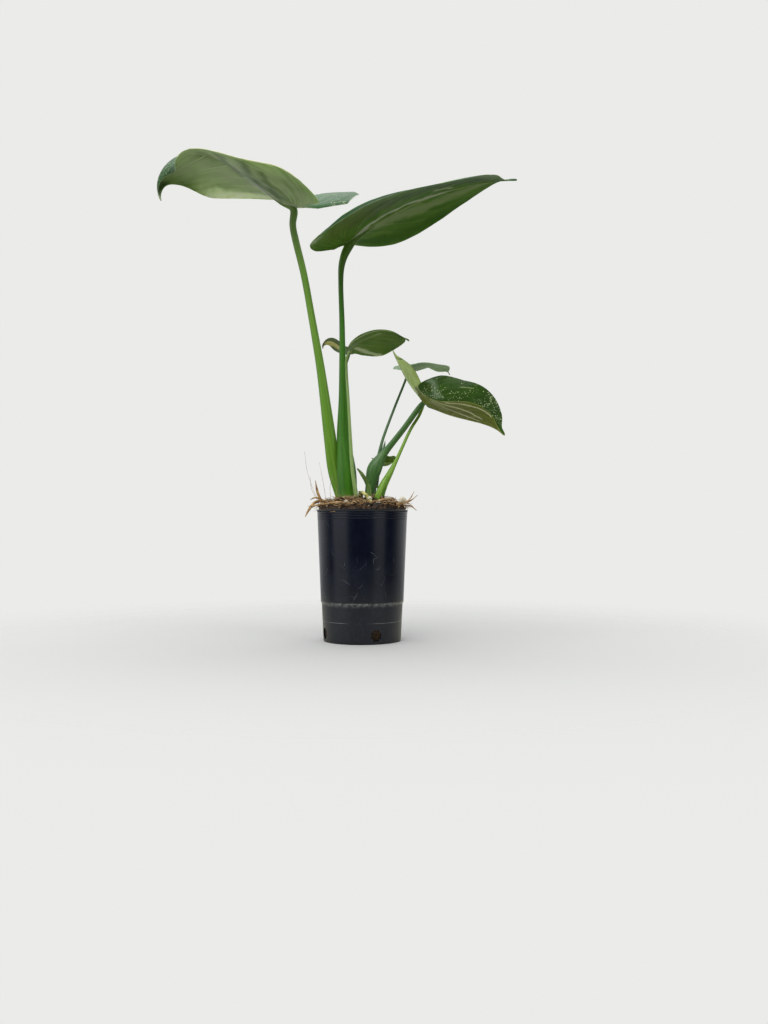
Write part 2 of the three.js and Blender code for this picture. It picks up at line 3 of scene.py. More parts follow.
import bmesh
import bpy
import numpy as np
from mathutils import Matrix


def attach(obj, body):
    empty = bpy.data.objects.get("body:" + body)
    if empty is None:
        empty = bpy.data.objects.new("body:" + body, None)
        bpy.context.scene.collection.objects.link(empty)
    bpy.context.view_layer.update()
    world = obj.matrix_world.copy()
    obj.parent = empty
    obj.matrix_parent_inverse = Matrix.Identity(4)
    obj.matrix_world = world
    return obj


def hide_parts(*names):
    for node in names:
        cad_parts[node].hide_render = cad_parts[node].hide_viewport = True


# A young potted monstera with cream-speckled leaves in a black nursery pot. The sizes in this script are
# millimetres, as in the part's own source, and become metres where a mesh is made.
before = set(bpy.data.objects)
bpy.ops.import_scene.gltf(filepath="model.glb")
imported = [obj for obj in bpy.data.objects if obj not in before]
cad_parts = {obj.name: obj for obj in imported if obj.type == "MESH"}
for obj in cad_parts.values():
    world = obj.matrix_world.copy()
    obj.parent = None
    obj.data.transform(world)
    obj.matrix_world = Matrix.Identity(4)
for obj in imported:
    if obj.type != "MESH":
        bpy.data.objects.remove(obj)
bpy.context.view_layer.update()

MM = 0.001
GAP = 0.3

# The pot: tapered, with a narrower foot below a ledge, fine rings under its rim and four drainage holes.
POT_HEIGHT = 128
RIM_RADIUS = 45
SHOULDER_RADIUS = 44.4
LEDGE_RADIUS = 40.6
LEDGE_HEIGHT = 38
LEDGE_STEP = 0.8
FOOT_RADIUS = 38
POT_WALL = 1.3
POT_FLOOR = 2
POT_SIDES = 144
RING_TOP = 126.5
RING_PITCH = 2.4
RING_RISE = 0.18
RIM_RINGS = 3
HOLE_COUNT = 4
HOLE_TURN = 21.5
HOLE_WIDTH = 10
HOLE_BOTTOM = 3
HOLE_TOP = 13.5
HOLE_DEPTH = 9
HOLE_ROUNDING = 2.2

# The potting mix is heaped a little above the rim.
MIX_EDGE = 129
MIX_CROWN = 137
MIX_ROUGHNESS = 1.1
MIX_RINGS = 44
MIX_SIDES = 150
CRUMB_WAVES = 26
CRUMB_HEIGHT = 0.8
CRUMB_EDGE = 4

# What grows on the mix or lies on it keeps inside this height, reach and distance from the thick root.
GROWTH_FLOOR = 120
GROWTH_REACH = 41.5
ROOT_CLEARANCE = 9

# Half of a leaf's outline from the notch behind its stalk to the tip: shares of the leaf's length along
# the midrib, and of half its width sideways.
HALF_OUTLINE = [
    (-0.09, 0.07), (-0.2, 0.26), (-0.205, 0.55), (-0.11, 0.84), (0.04, 0.98), (0.21, 1),
    (0.41, 0.92), (0.62, 0.72), (0.8, 0.4), (0.905, 0.1), (1, 0),
]
LOBE_SHARE = 0.42
LOBE_REACH = 0.2
SIDE_LINE_EASE = 1.15
MARGIN_WAVES = 3.2
MIDRIB_BEHIND = 0.25

# Side veins curve on towards the tip by this much of the outline as they near the margin.
VEIN_SWEEP = 0.24

# The blade's relief: valleys at the side veins, which begin this far from the midrib, crinkles between
# them, ribs below, and a margin thinner than the rest by a share.
VALLEY_WIDTH = 0.14
RIB_WIDTH = 0.07
RELIEF_START = 7
CRINKLE = 0.35
MARGIN_THINNING = 0.55

# The midrib's height and width at the tip, and what a leaf 200 mm long adds to each at the stalk.
MIDRIB_HEIGHT = (0.35, 1.5)
MIDRIB_WIDTH = (0.7, 2.2)

STALK_FOOT = 114
STALK_DEPTH = 0.74
CHANNEL_DEPTH = 0.34
LIP_HEIGHT = 0.1

# Where a stalk runs on under its blade: share of the midrib, of the stalk's width, and how far below it.
UNDER_BLADE = [(0, 1, 0.45), (0.07, 0.6, 0.3), (0.17, 0.3, 0.3)]

# Each leaf in its real place. Angles are in degrees, and three numbers are the values at the leaf's start,
# its middle and its tip. A stalk is a list of points x, y, z with its width there. Its channel faces the
# angle given, turned from across the view towards the back, up to a share of its length.
LEAVES = {
    "leaf_upper_left": dict(
        length=197, width=157, thickness=0.8, wave=1.4, heading=166, swing=8,
        pitch=(17, 26, -126), roll=(-7, -17, -7),
        left=dict(fold=(10, 0, -44), curl=(8, 6, -89), lobe=0.84),
        right=dict(fold=(54, -20, -63), curl=(-46, 0, -80), lobe=1.3),
        rows=150, columns=26, veins=13, relief=0.55, channel=(35, 0.6),
        stalk=[
            (-18, 10, STALK_FOOT, 12), (-20, 9.5, 138, 12.5), (-28, 8, 167, 13), (-32, 2, 197, 12),
            (-37, -2, 236, 9.8), (-42, -4, 272, 8), (-50, -8, 319, 6.8), (-57, -11, 358, 6.6),
            (-65, -13, 391, 6.8), (-68, -14, 407, 6.6), (-66.7, -15, 426, 7.4),
        ],
    ),
    "leaf_upper_right": dict(
        length=193, width=138, thickness=0.8, wave=1.4, heading=0, swing=20,
        pitch=(36, 24, 7), roll=(28, 3, 17),
        left=dict(fold=(40, -5, 0), curl=(-24, -24, -33), lobe=0.5),
        right=dict(fold=(52, 7, 17), curl=(-43, -24, -67), lobe=0.85),
        rows=150, columns=26, veins=13, relief=0.5, channel=(90, 0.5),
        stalk=[
            (-13.5, -1, STALK_FOOT, 13), (-14, -1, 138, 17), (-15.5, -1, 165, 19), (-19, -1, 202, 12.6),
            (-19, -1.5, 237, 9), (-19.6, -3, 272, 6.6), (-20, -6, 312, 5.4), (-21, -11, 350, 5),
            (-19.5, -14, 370, 6.6), (-15, -16, 389, 8.6),
        ],
    ),
    "leaf_middle": dict(
        length=70, width=63, thickness=0.7, wave=0.8, heading=-21, swing=-20,
        pitch=(35, 0, -37), roll=(23, -23, -12),
        left=dict(fold=(20, 10, 3), curl=(-51, -24, 15), lobe=0.35),
        right=dict(fold=(4, -39, 20), curl=(-39, 13, -60), lobe=0.2),
        rows=96, columns=18, veins=10, relief=0.35, channel=(90, 0.4),
        stalk=[
            (-4.8, -10.6, STALK_FOOT, 4.2), (-5.4, -11, 138, 4.4), (-9.5, -11.5, 168, 3.8),
            (-11.7, -10, 202, 3.2), (-13.7, -9, 237, 2.8), (-15.3, -11.4, 264, 2.6), (-14.8, -14.4, 276, 2.6),
            (-11.2, -17.1, 284.6, 3),
        ],
    ),
    "leaf_half_hidden": dict(
        length=37, width=22, thickness=0.7, wave=0.6, heading=182, swing=-6,
        pitch=(14, 30, -120), roll=(0, 8, 10),
        left=dict(fold=(25, 10, -10), curl=(-10, -20, -20), lobe=0.8),
        right=dict(fold=(30, -10, -30), curl=(-10, -30, -30), lobe=0.8),
        rows=64, columns=12, veins=8, relief=0.2, channel=(60, 0.4),
        stalk=[
            (-8.5, 11.5, STALK_FOOT, 3.2), (-9, 11.5, 138, 3.2), (-14, 12, 168, 2.8), (-18, 13, 202, 2.5),
            (-19.5, 15, 237, 2.2), (-18.5, 16.5, 268, 2), (-13.5, 17, 288, 2.4),
        ],
    ),
    "leaf_lower_right": dict(
        length=109, width=80, thickness=0.7, wave=1.2, heading=-22, swing=-46,
        pitch=(-37, -16, -34), roll=(-1, 32, -27),
        left=dict(fold=(51, 51, 70), curl=(-5, -29, 14), lobe=0.76),
        right=dict(fold=(32, 60, 63), curl=(-26, -18, -41), lobe=0.35),
        rows=120, columns=22, veins=11, relief=0.4, channel=(140, 0.55),
        stalk=[
            (6.5, 0, STALK_FOOT, 8), (7, 0, 138, 9), (8.5, 0, 153, 10), (12, 0, 168, 14),
            (18, 0, 179, 10), (24, -0.5, 187, 6.6), (40, -2.5, 207, 5.6), (60.5, -6.6, 234.4, 5.2),
        ],
    ),
    "leaf_rolled": dict(
        length=61, width=30, thickness=0.7, wave=0.5, heading=173, swing=0,
        pitch=(40, 61, 66), roll=(59, 52, 3),
        left=dict(fold=(71, 70, 55), curl=(25, 10, -14), lobe=0.56),
        right=dict(fold=(78, 79, 61), curl=(30, 10, 2), lobe=0.56),
        rows=80, columns=14, veins=9, relief=0.2, channel=(150, 0.5),
        stalk=[
            (13.5, -9, STALK_FOOT, 7), (15, -9, 135, 7.6), (20, -8, 150, 8), (27, -6, 163.5, 5.8),
            (35, -4, 180, 3.5), (47, 0, 206.5, 3), (56.5, 2, 222.5, 3), (61.7, 3.5, 236.7, 3.2),
        ],
    ),
    "leaf_back": dict(
        length=62, width=47, thickness=0.7, wave=0.8, heading=25, swing=25,
        pitch=(5, 15, -50), roll=(8, 6, -3),
        left=dict(fold=(27, 23, -38), curl=(-39, -24, -10), lobe=0.85),
        right=dict(fold=(11, 7, -31), curl=(16, -4, -37), lobe=0.85),
        rows=80, columns=16, veins=9, relief=0.25, channel=(150, 0.5),
        stalk=[
            (10, 9.5, STALK_FOOT, 5), (10.5, 9.5, 138, 5), (13.5, 9.5, 168, 4.4), (18.5, 11.5, 193, 3),
            (23.5, 16, 209.5, 2.7), (33.5, 23, 236.5, 2.5), (43, 29, 261, 2.4), (46, 32, 272, 2.8),
        ],
    ),
    "leaf_small": dict(
        length=25, width=19, thickness=0.7, wave=0.4, heading=177, swing=22,
        pitch=(-20, 8, 20), roll=(6, 27, 50),
        left=dict(fold=(20, 20, 27), curl=(-5, -12, -6), lobe=0.5),
        right=dict(fold=(27, 15, 18), curl=(-2, -21, 5), lobe=0.5),
        rows=56, columns=10, veins=7, relief=0.15, channel=(150, 0.4),
        stalk=[
            (19.5, 4, STALK_FOOT, 2.8), (20, 6, 138, 2.6), (24, 11, 153, 2.2), (29, 16, 166, 1.9),
            (32.5, 19, 178.5, 2),
        ],
    ),
}

# Pointed ends of the sheaths that two young stalks grew out of, as points x, y, z and width.
SHEATH_TIPS = {
    "leaf_rolled": [
        (12, -11, 118, 5), (14, -12, 136, 6), (18, -11.5, 147, 5), (23, -9.5, 158, 2.6), (25.5, -8, 164, 0.5),
    ],
    "leaf_back": [
        (13, 7, 150, 5), (15, 7, 168, 5.5), (18.5, 8.5, 182, 4.4), (21.5, 11, 192, 2.4), (22.6, 12, 198, 0.5),
    ],
}

# The crown, the thick root that bends from it into the mix and the dried sheath, as the stalks.
CROWN = [(-2, 5, 112, 7), (-2, 5, 125, 7), (-1.6, 4, 147, 4.6)]
ROOT = [
    (12, -30, 124, 3.2), (9, -24, 134.5, 3.4), (4, -15, 142, 3.5), (-0.2, -6, 145, 3.5), (-1.6, 3, 142, 3.4),
]
SHEATH = [
    (6.5, -6.2, 122, 4.2), (7, -6.4, 146, 4.4), (4.4, -7.6, 155, 4), (0, -11.5, 162.5, 3.4),
    (-4.6, -14, 168, 1.6),
]
SHEATH_DEPTH = 0.25


# Small helpers


def linear(colour):
    """A colour written as 0xRRGGBB, as the shader's linear red, green, blue and alpha."""
    parts = [(colour >> shift & 255) / 255 for shift in (16, 8, 0)]
    return tuple(c / 12.92 if c < 0.04045 else ((c + 0.055) / 1.055) ** 2.4 for c in parts) + (1,)


def placed(name, data):
    """A new object at the origin of the scene."""
    item = bpy.data.objects.new(name, data)
    bpy.context.scene.collection.objects.link(item)
    return item


def built(name, work):
    """The faces of a bmesh as a new object."""
    mesh = bpy.data.meshes.new(name)
    work.to_mesh(mesh)
    work.free()
    return placed(name, mesh)


def feed(inlet, value):
    """Sets an input socket, or links what feeds it."""
    if isinstance(value, Value):
        inlet.id_data.links.new(value.socket, inlet)
    else:
        inlet.default_value = value


def node(tree, kind, sockets=None, **settings):
    item = tree.nodes.new(kind)
    for name, value in settings.items():
        setattr(item, name, value)
    for name, value in (sockets or {}).items():
        feed(item.inputs[name], value)
    return item


def take(tree, kind, sockets=None, outlet=0, **settings):
    """What one output of a new node gives."""
    return Value(node(tree, kind, sockets, **settings).outputs[outlet])


class Value:
    """What an output socket gives, to calculate with. Each step adds a node to the socket's tree."""

    def __init__(self, socket):
        self.socket = socket
        self.tree = socket.id_data

    def maths(self, operation, *others, clamp=False):
        sockets = dict(enumerate((self, *others)))
        return take(self.tree, "ShaderNodeMath", sockets, operation=operation, use_clamp=clamp)

    def __add__(self, other):
        return self.maths("ADD", other)

    def __sub__(self, other):
        return self.maths("SUBTRACT", other)

    def __mul__(self, other):
        return self.maths("MULTIPLY", other)

    def __abs__(self):
        return self.maths("ABSOLUTE")

    def ramp(self, low, high, start=0.0, end=1.0):
        """Runs smoothly from start to end while the value goes from low to high."""
        sockets = {"Value": self, "From Min": low, "From Max": high, "To Min": start, "To Max": end}
        return take(self.tree, "ShaderNodeMapRange", sockets, interpolation_type="SMOOTHSTEP")

    def parts(self):
        """The x, y and z of a vector."""
        return [Value(part) for part in node(self.tree, "ShaderNodeSeparateXYZ", {0: self}).outputs]


def mixed(share, first, second):
    """One colour over another by a share."""
    item = node(share.tree, "ShaderNodeMix", {0: share}, data_type="RGBA")
    for index, colour in ((6, first), (7, second)):
        feed(item.inputs[index], linear(colour) if isinstance(colour, int) else colour)
    return Value(item.outputs[2])


def noise(place, scale, detail=3.0, roughness=0.55, outlet=0):
    sockets = {"Vector": place, "Scale": scale, "Detail": detail, "Roughness": roughness}
    return take(place.tree, "ShaderNodeTexNoise", sockets, outlet)


def noise_shift(place, scale, size, detail=2.0):
    """A vector that wanders with the place, by up to about half a size."""
    wander = noise(place, scale, detail, 0.5, "Color")
    centred = vector_maths(place.tree, "SUBTRACT", wander, (0.5, 0.5, 0.5))
    return vector_maths(place.tree, "SCALE", centred, Scale=size)


def cells(place, scale, dimensions="3D"):
    """Random cells: three random numbers for each, the distance to its middle, and its middle."""
    sockets = {"Vector": place, "Scale": scale}
    item = node(place.tree, "ShaderNodeTexVoronoi", sockets, voronoi_dimensions=dimensions)
    colour = Value(item.outputs["Color"])
    picks = node(place.tree, "ShaderNodeSeparateColor", {0: colour}).outputs
    return [Value(pick) for pick in picks], Value(item.outputs["Distance"]), Value(item.outputs["Position"])


def vector(x, y, z=0.0):
    return take(x.tree, "ShaderNodeCombineXYZ", {0: x, 1: y, 2: z})


def vector_maths(tree, operation, *vectors, **sockets):
    outlet = "Value" if operation in ("DOT_PRODUCT", "DISTANCE", "LENGTH") else "Vector"
    sockets = {**dict(enumerate(vectors)), **sockets}
    return take(tree, "ShaderNodeVectorMath", sockets, outlet, operation=operation)


def object_place(tree):
    return take(tree, "ShaderNodeTexCoord", outlet="Object")


def map_place(tree):
    """The two numbers of a piece's own map."""
    return take(tree, "ShaderNodeUVMap", uv_map="plant_map").parts()[:2]


def new_material(name):
    material = bpy.data.materials.new(name)
    material.use_nodes = True
    return material, material.node_tree


def dressed(material, colour, relief, bump, bump_size, roughness, **surface):
    """The material with its colour, relief, roughness and other settings on its shader."""
    tree = material.node_tree
    sockets = {"Strength": bump, "Distance": bump_size, "Height": relief}
    normal = take(tree, "ShaderNodeBump", sockets)
    surface.update({"Base Color": colour, "Roughness": roughness, "Normal": normal})
    for name, value in surface.items():
        feed(tree.nodes["Principled BSDF"].inputs[name], value)
    return material


# Curves and surfaces


def blend(values, share):
    """A smooth curve through three values, at 0, 0.5 and 1."""
    start, middle, end = values
    return start + (4 * middle - 3 * start - end) * share + 2 * (start + end - 2 * middle) * share * share


def smooth(value):
    value = np.clip(value, 0, 1)
    return value * value * (3 - 2 * value)


def through(points, shares, clamped=False):
    """Points at even shares of a smooth curve through the points given."""
    points = np.array(points, float)
    first = points[0] if clamped else 2 * points[0] - points[1]
    last = points[-1] if clamped else 2 * points[-1] - points[-2]
    padded = np.vstack([first, points, last])
    spans = len(points) - 1
    place = np.clip(np.asarray(shares, float), 0, 1) * spans
    span = np.minimum(place.astype(int), spans - 1)
    t = (place - span)[..., None]
    a, b, c, d = (padded[span + step] for step in range(4))
    return 0.5 * (2 * b + (c - a) * t + (2 * a - 5 * b + 4 * c - d) * t**2 + (3 * b - a - 3 * c + d) * t**3)


def leaf_frame(leaf, share):
    """Directions at shares of the leaf's length: along the midrib, to its left and up out of the leaf."""
    ahead = np.clip(share, 0, 1)
    whole = np.clip((share + LOBE_REACH) / (1 + LOBE_REACH), 0, 1)
    pitch = np.radians(blend(leaf["pitch"], ahead))
    heading = np.radians(leaf["heading"] + leaf["swing"] * ahead)
    roll = np.radians(blend(leaf["roll"], whole))[..., None]
    along = np.stack([np.cos(heading) * np.cos(pitch), np.sin(heading) * np.cos(pitch), np.sin(pitch)], -1)
    level = np.stack([-np.sin(heading), np.cos(heading), 0 * heading], -1)
    raised = np.cross(along, level)
    left = level * np.cos(roll) + raised * np.sin(roll)
    up = raised * np.cos(roll) - level * np.sin(roll)
    return along, left, up, whole


def midrib_of(leaf):
    """A function that gives the midrib's point at shares of the leaf's length."""
    steps = 200
    shares = np.linspace(-MIDRIB_BEHIND, 1, steps + 1)
    along = leaf_frame(leaf, (shares[1:] + shares[:-1]) / 2)[0]
    points = np.vstack([np.zeros(3), np.cumsum(along * (shares[1] - shares[0]) * leaf["length"], axis=0)])

    def point_at(share):
        return np.stack([np.interp(share, shares, points[:, axis]) for axis in range(3)], -1)

    shift = np.array(leaf["stalk"][-1][:3], float) - point_at(0.0)
    return lambda share: point_at(share) + shift


def foot_of(row):
    """Where the side line of a row leaves the midrib."""
    return np.clip((row - LOBE_SHARE) / (1 - LOBE_SHARE), 0, 1) ** SIDE_LINE_EASE


def vein_distance(leaf, row, edge):
    """Distance to the nearest side vein, from 0 on it to 0.5 midway between two."""
    phase = (row - VEIN_SWEEP * edge**2) * leaf["veins"]
    return np.abs(phase - np.round(phase))


def blade_half(leaf, side):
    """The middle surface of one half of the blade, with its reach from the midrib and its relief."""
    half = leaf["left"] if side > 0 else leaf["right"]
    midrib = midrib_of(leaf)
    rows = np.linspace(0, 1, leaf["rows"] + 1)
    edges = np.linspace(0, 1, leaf["columns"] + 1) ** 1.2
    row, edge = np.meshgrid(rows, edges, indexing="ij")
    outline = through(HALF_OUTLINE, rows, clamped=True)
    ends = np.where(outline[:, 0] < 0, outline[:, 0] * half["lobe"], outline[:, 0])[:, None]
    foot = foot_of(row)
    share = foot + (ends - foot) * edge
    reach = np.maximum(outline[:, 1:], 0) * edge * leaf["width"] / 2
    _, left, up, whole = leaf_frame(leaf, share)
    fold = np.radians(blend(half["fold"], whole))
    curl = np.radians(blend(half["curl"], whole)) / (leaf["width"] / 2)
    curl = np.where(np.abs(curl) < 1e-6, 1e-6, curl)
    out = (np.sin(fold + curl * reach) - np.sin(fold)) / curl
    rise = (np.cos(fold) - np.cos(fold + curl * reach)) / curl
    wave = leaf["wave"] * np.sin(2 * math.pi * MARGIN_WAVES * row + side) * edge**2
    valley = np.exp(-((vein_distance(leaf, row, edge) / VALLEY_WIDTH) ** 2))
    away = smooth(reach / RELIEF_START) * (1 - 0.65 * edge)
    quilt = -leaf["relief"] * valley * away
    crinkle = CRINKLE * leaf["relief"] * np.sin(row * 71 + edge * 9) * np.sin(edge * 23 + row * 17) * away
    rise = rise + wave + quilt + crinkle
    surface = midrib(share) + left * (side * out)[..., None] + up * rise[..., None]
    return surface, reach, row, edge


def vertex_normals(points, faces):
    """Normals at the points of a mesh of quads and triangles given as quads with a repeated corner."""
    a, b, c, d = (points[faces[:, corner]] for corner in range(4))
    face_normals = np.cross(c - a, d - b)
    normals = np.zeros_like(points)
    for corner in range(4):
        np.add.at(normals, faces[:, corner], face_normals)
    return normals / np.maximum(np.linalg.norm(normals, axis=1, keepdims=True), 1e-12)


def blade(leaf):
    """The blade as a closed sheet: upper face, under face with the midrib standing out, and the margin."""
    rows, columns = leaf["rows"], leaf["columns"]
    points, sheet, quads, quad_maps = [], {}, [], []
    tip = None
    lobe_rows = int(math.floor(LOBE_SHARE * rows)) + 1
    grids = {side: blade_half(leaf, side) for side in (1, -1)}
    spread = []
    for side in (1, -1):
        surface, reach, row, edge = grids[side]
        numbers = np.zeros((rows + 1, columns + 1), int)
        for i in range(rows + 1):
            for j in range(columns + 1):
                if i == rows and tip is not None:
                    numbers[i, j] = tip
                elif j == 0 and side < 0:
                    numbers[i, j] = sheet[1][i, 0]
                elif j == 0 and 0 < i < lobe_rows:
                    numbers[i, j] = numbers[0, 0]
                else:
                    numbers[i, j] = len(points)
                    points.append(surface[i, j])
                    spread.append((reach[i, j], row[i, j], edge[i, j]))
                if i == rows:
                    tip = numbers[i, j]
        sheet[side] = numbers
        here = (numbers, row, 0.5 + 0.5 * side * edge)
        corner, along, across = ([g[:-1, :-1], g[1:, :-1], g[1:, 1:], g[:-1, 1:]] for g in here)
        order = (0, 1, 2, 3) if side > 0 else (0, 3, 2, 1)
        quads.append(np.stack([corner[k].ravel() for k in order], 1))
        quad_maps.append(np.stack([np.stack([along[k].ravel(), across[k].ravel()], 1) for k in order], 1))
    points, spread = np.array(points), np.array(spread)
    quads, quad_maps = np.vstack(quads), np.vstack(quad_maps)
    normals = vertex_normals(points, quads)
    reach, row, edge = spread.T
    foot = foot_of(row)
    half_thick = leaf["thickness"] / 2 * (1 - MARGIN_THINNING * edge**6)
    size = leaf["length"] / 200
    rib_width = MIDRIB_WIDTH[0] + MIDRIB_WIDTH[1] * size * (1 - foot)
    rib_height = MIDRIB_HEIGHT[0] + MIDRIB_HEIGHT[1] * size * (1 - foot) ** 1.2
    rib = rib_height * np.exp(-((reach / rib_width) ** 2))
    groove = 0.5 * rib * np.exp(-((reach / (0.5 + size)) ** 2))
    side_rib = leaf["relief"] * 0.5 * np.exp(-((vein_distance(leaf, row, edge) / RIB_WIDTH) ** 2))
    side_rib *= smooth(reach / RELIEF_START) * (1 - edge) ** 0.7
    top = points + normals * (half_thick - groove)[:, None]
    bottom = points - normals * (half_thick + rib + side_rib)[:, None]
    count = len(points)
    first = list(sheet[1][0, :]) + list(sheet[1][1:, -1])
    rim = first + list(sheet[-1][-2::-1, -1]) + list(sheet[-1][0, -2:0:-1])
    sides = [1] * len(first) + [-1] * (len(rim) - len(first))
    runs = [(a, b, side) for a, b, side in zip(rim, rim[1:] + rim[:1], sides) if a != b]
    strip = np.array([(a + count, b + count, b, a) for a, b, _ in runs])
    strip_maps = np.array([
        [(row[k], 0.5 + 0.5 * side * edge[k]) for k in (a, b, b, a)] for a, b, side in runs])
    return dict(
        points=np.vstack([top, bottom]),
        faces=[quads, quads[:, ::-1] + count, strip],
        maps=[quad_maps, quad_maps[:, ::-1], strip_maps],
        finishes=[0, 1, 1],
    )


def full_stalk(leaf):
    """The stalk bends in under the blade and runs on as the thick start of its midrib."""
    midrib = midrib_of(leaf)
    top = leaf["stalk"][-1][3]
    under = []
    for share, part, below in UNDER_BLADE:
        width = top * part
        up = leaf_frame(leaf, np.array(share, float))[2]
        under.append((*(midrib(float(share)) - up * width * below), width))
    return leaf["stalk"][:-1] + under


def stalk(route, sides=32, steps=8, depth=STALK_DEPTH, channel=(90, 0.0), grain=0.0):
    """A closed oval tube through points x, y, z and width, with a channel between two lips."""
    route = np.array(route, float)
    rings = (len(route) - 1) * steps
    shares = np.linspace(0, 1, rings + 1)
    centres = through(route[:, :3], shares)
    widths = through(route[:, 3:], shares, clamped=True)[:, 0]
    along = np.gradient(centres, axis=0)
    along /= np.linalg.norm(along, axis=1, keepdims=True)
    across = np.cross([0, 1, 0], along)
    across /= np.linalg.norm(across, axis=1, keepdims=True)
    deep = np.cross(along, across)
    turns = np.linspace(0, 2 * math.pi, sides, endpoint=False)
    facing, channel_end = math.radians(channel[0]), max(channel[1], 1e-6)
    away = np.abs((turns - facing + math.pi) % (2 * math.pi) - math.pi)
    strength = smooth((channel_end - shares) / (0.35 * channel_end))[:, None]
    cut = CHANNEL_DEPTH * np.exp(-((away / 0.42) ** 2)) - LIP_HEIGHT * np.exp(-(((away - 0.62) / 0.2) ** 2))
    size = 1 - strength * cut[None, :]
    size = size + grain * np.sin(turns * 7 + shares[:, None] * 40) * np.sin(shares[:, None] * 90 + turns * 3)
    flat = widths[:, None, None] / 2 * size[..., None]
    points = centres[:, None] + flat * (
        np.cos(turns)[None, :, None] * across[:, None] + depth * np.sin(turns)[None, :, None] * deep[:, None])
    numbers = np.arange((rings + 1) * sides).reshape(rings + 1, sides)
    turned = np.roll(numbers, -1, axis=1)
    quads = np.stack([numbers[:-1], turned[:-1], turned[1:], numbers[1:]], -1).reshape(-1, 4)
    around = np.arange(sides + 1) / sides
    maps = np.zeros((rings, sides, 4, 2))
    maps[:, :, 0, 0] = maps[:, :, 1, 0] = shares[:-1, None]
    maps[:, :, 2, 0] = maps[:, :, 3, 0] = shares[1:, None]
    maps[:, :, 0, 1] = maps[:, :, 3, 1] = around[None, :-1]
    maps[:, :, 1, 1] = maps[:, :, 2, 1] = around[None, 1:]
    start, end = len(numbers) * sides, len(numbers) * sides + 1
    caps = [(start, b, a, a) for a, b in zip(numbers[0], turned[0])]
    caps += [(end, a, b, b) for a, b in zip(numbers[-1], turned[-1])]
    cap_maps = np.repeat(np.array([(0.0, 0.5)] * sides + [(1.0, 0.5)] * sides)[:, None], 4, axis=1)
    return dict(
        points=np.vstack([points.reshape(-1, 3), centres[:1], centres[-1:]]),
        faces=[quads, np.array(caps)], maps=[maps.reshape(-1, 4, 2), cap_maps], finishes=[0, 0],
    )


def piece_of(name, shells, finishes, sharp=50):
    """One object from closed shells, each with the number of its first finish."""
    vertices, faces, maps, slots = [], [], [], []
    count = 0
    for shell, first in shells:
        vertices.extend(map(tuple, shell["points"] * MM))
        for part, part_maps, slot in zip(shell["faces"], shell["maps"], shell["finishes"]):
            for corners, places in zip(part.tolist(), part_maps.tolist()):
                kept = [k for k in range(4) if corners[k] != corners[k - 1]]
                if len(kept) < 3:
                    continue
                faces.append([corners[k] + count for k in kept])
                maps.extend(places[k] for k in kept)
                slots.append(slot + first)
        count += len(shell["points"])
    mesh = bpy.data.meshes.new(name)
    mesh.from_pydata(vertices, [], faces)
    layer = mesh.uv_layers.new(name="plant_map")
    layer.uv.foreach_set("vector", np.array(maps, np.float32).ravel())
    for material in finishes:
        mesh.materials.append(material)
    mesh.polygons.foreach_set("material_index", slots)
    mesh.shade_smooth()
    mesh.set_sharp_from_angle(angle=math.radians(sharp))
    mesh.validate()
    return placed(name, mesh)


# Leaf finishes

CREAM = 0xC9D2A2
LEAF_ROUGHNESS = 0.4
LEAF_DEPTH = {"Subsurface Radius": (1.0, 1.15, 0.75), "Subsurface Scale": 0.0012}

# How much of a leaf's length its map's rows span.
MAP_LENGTH = 0.8

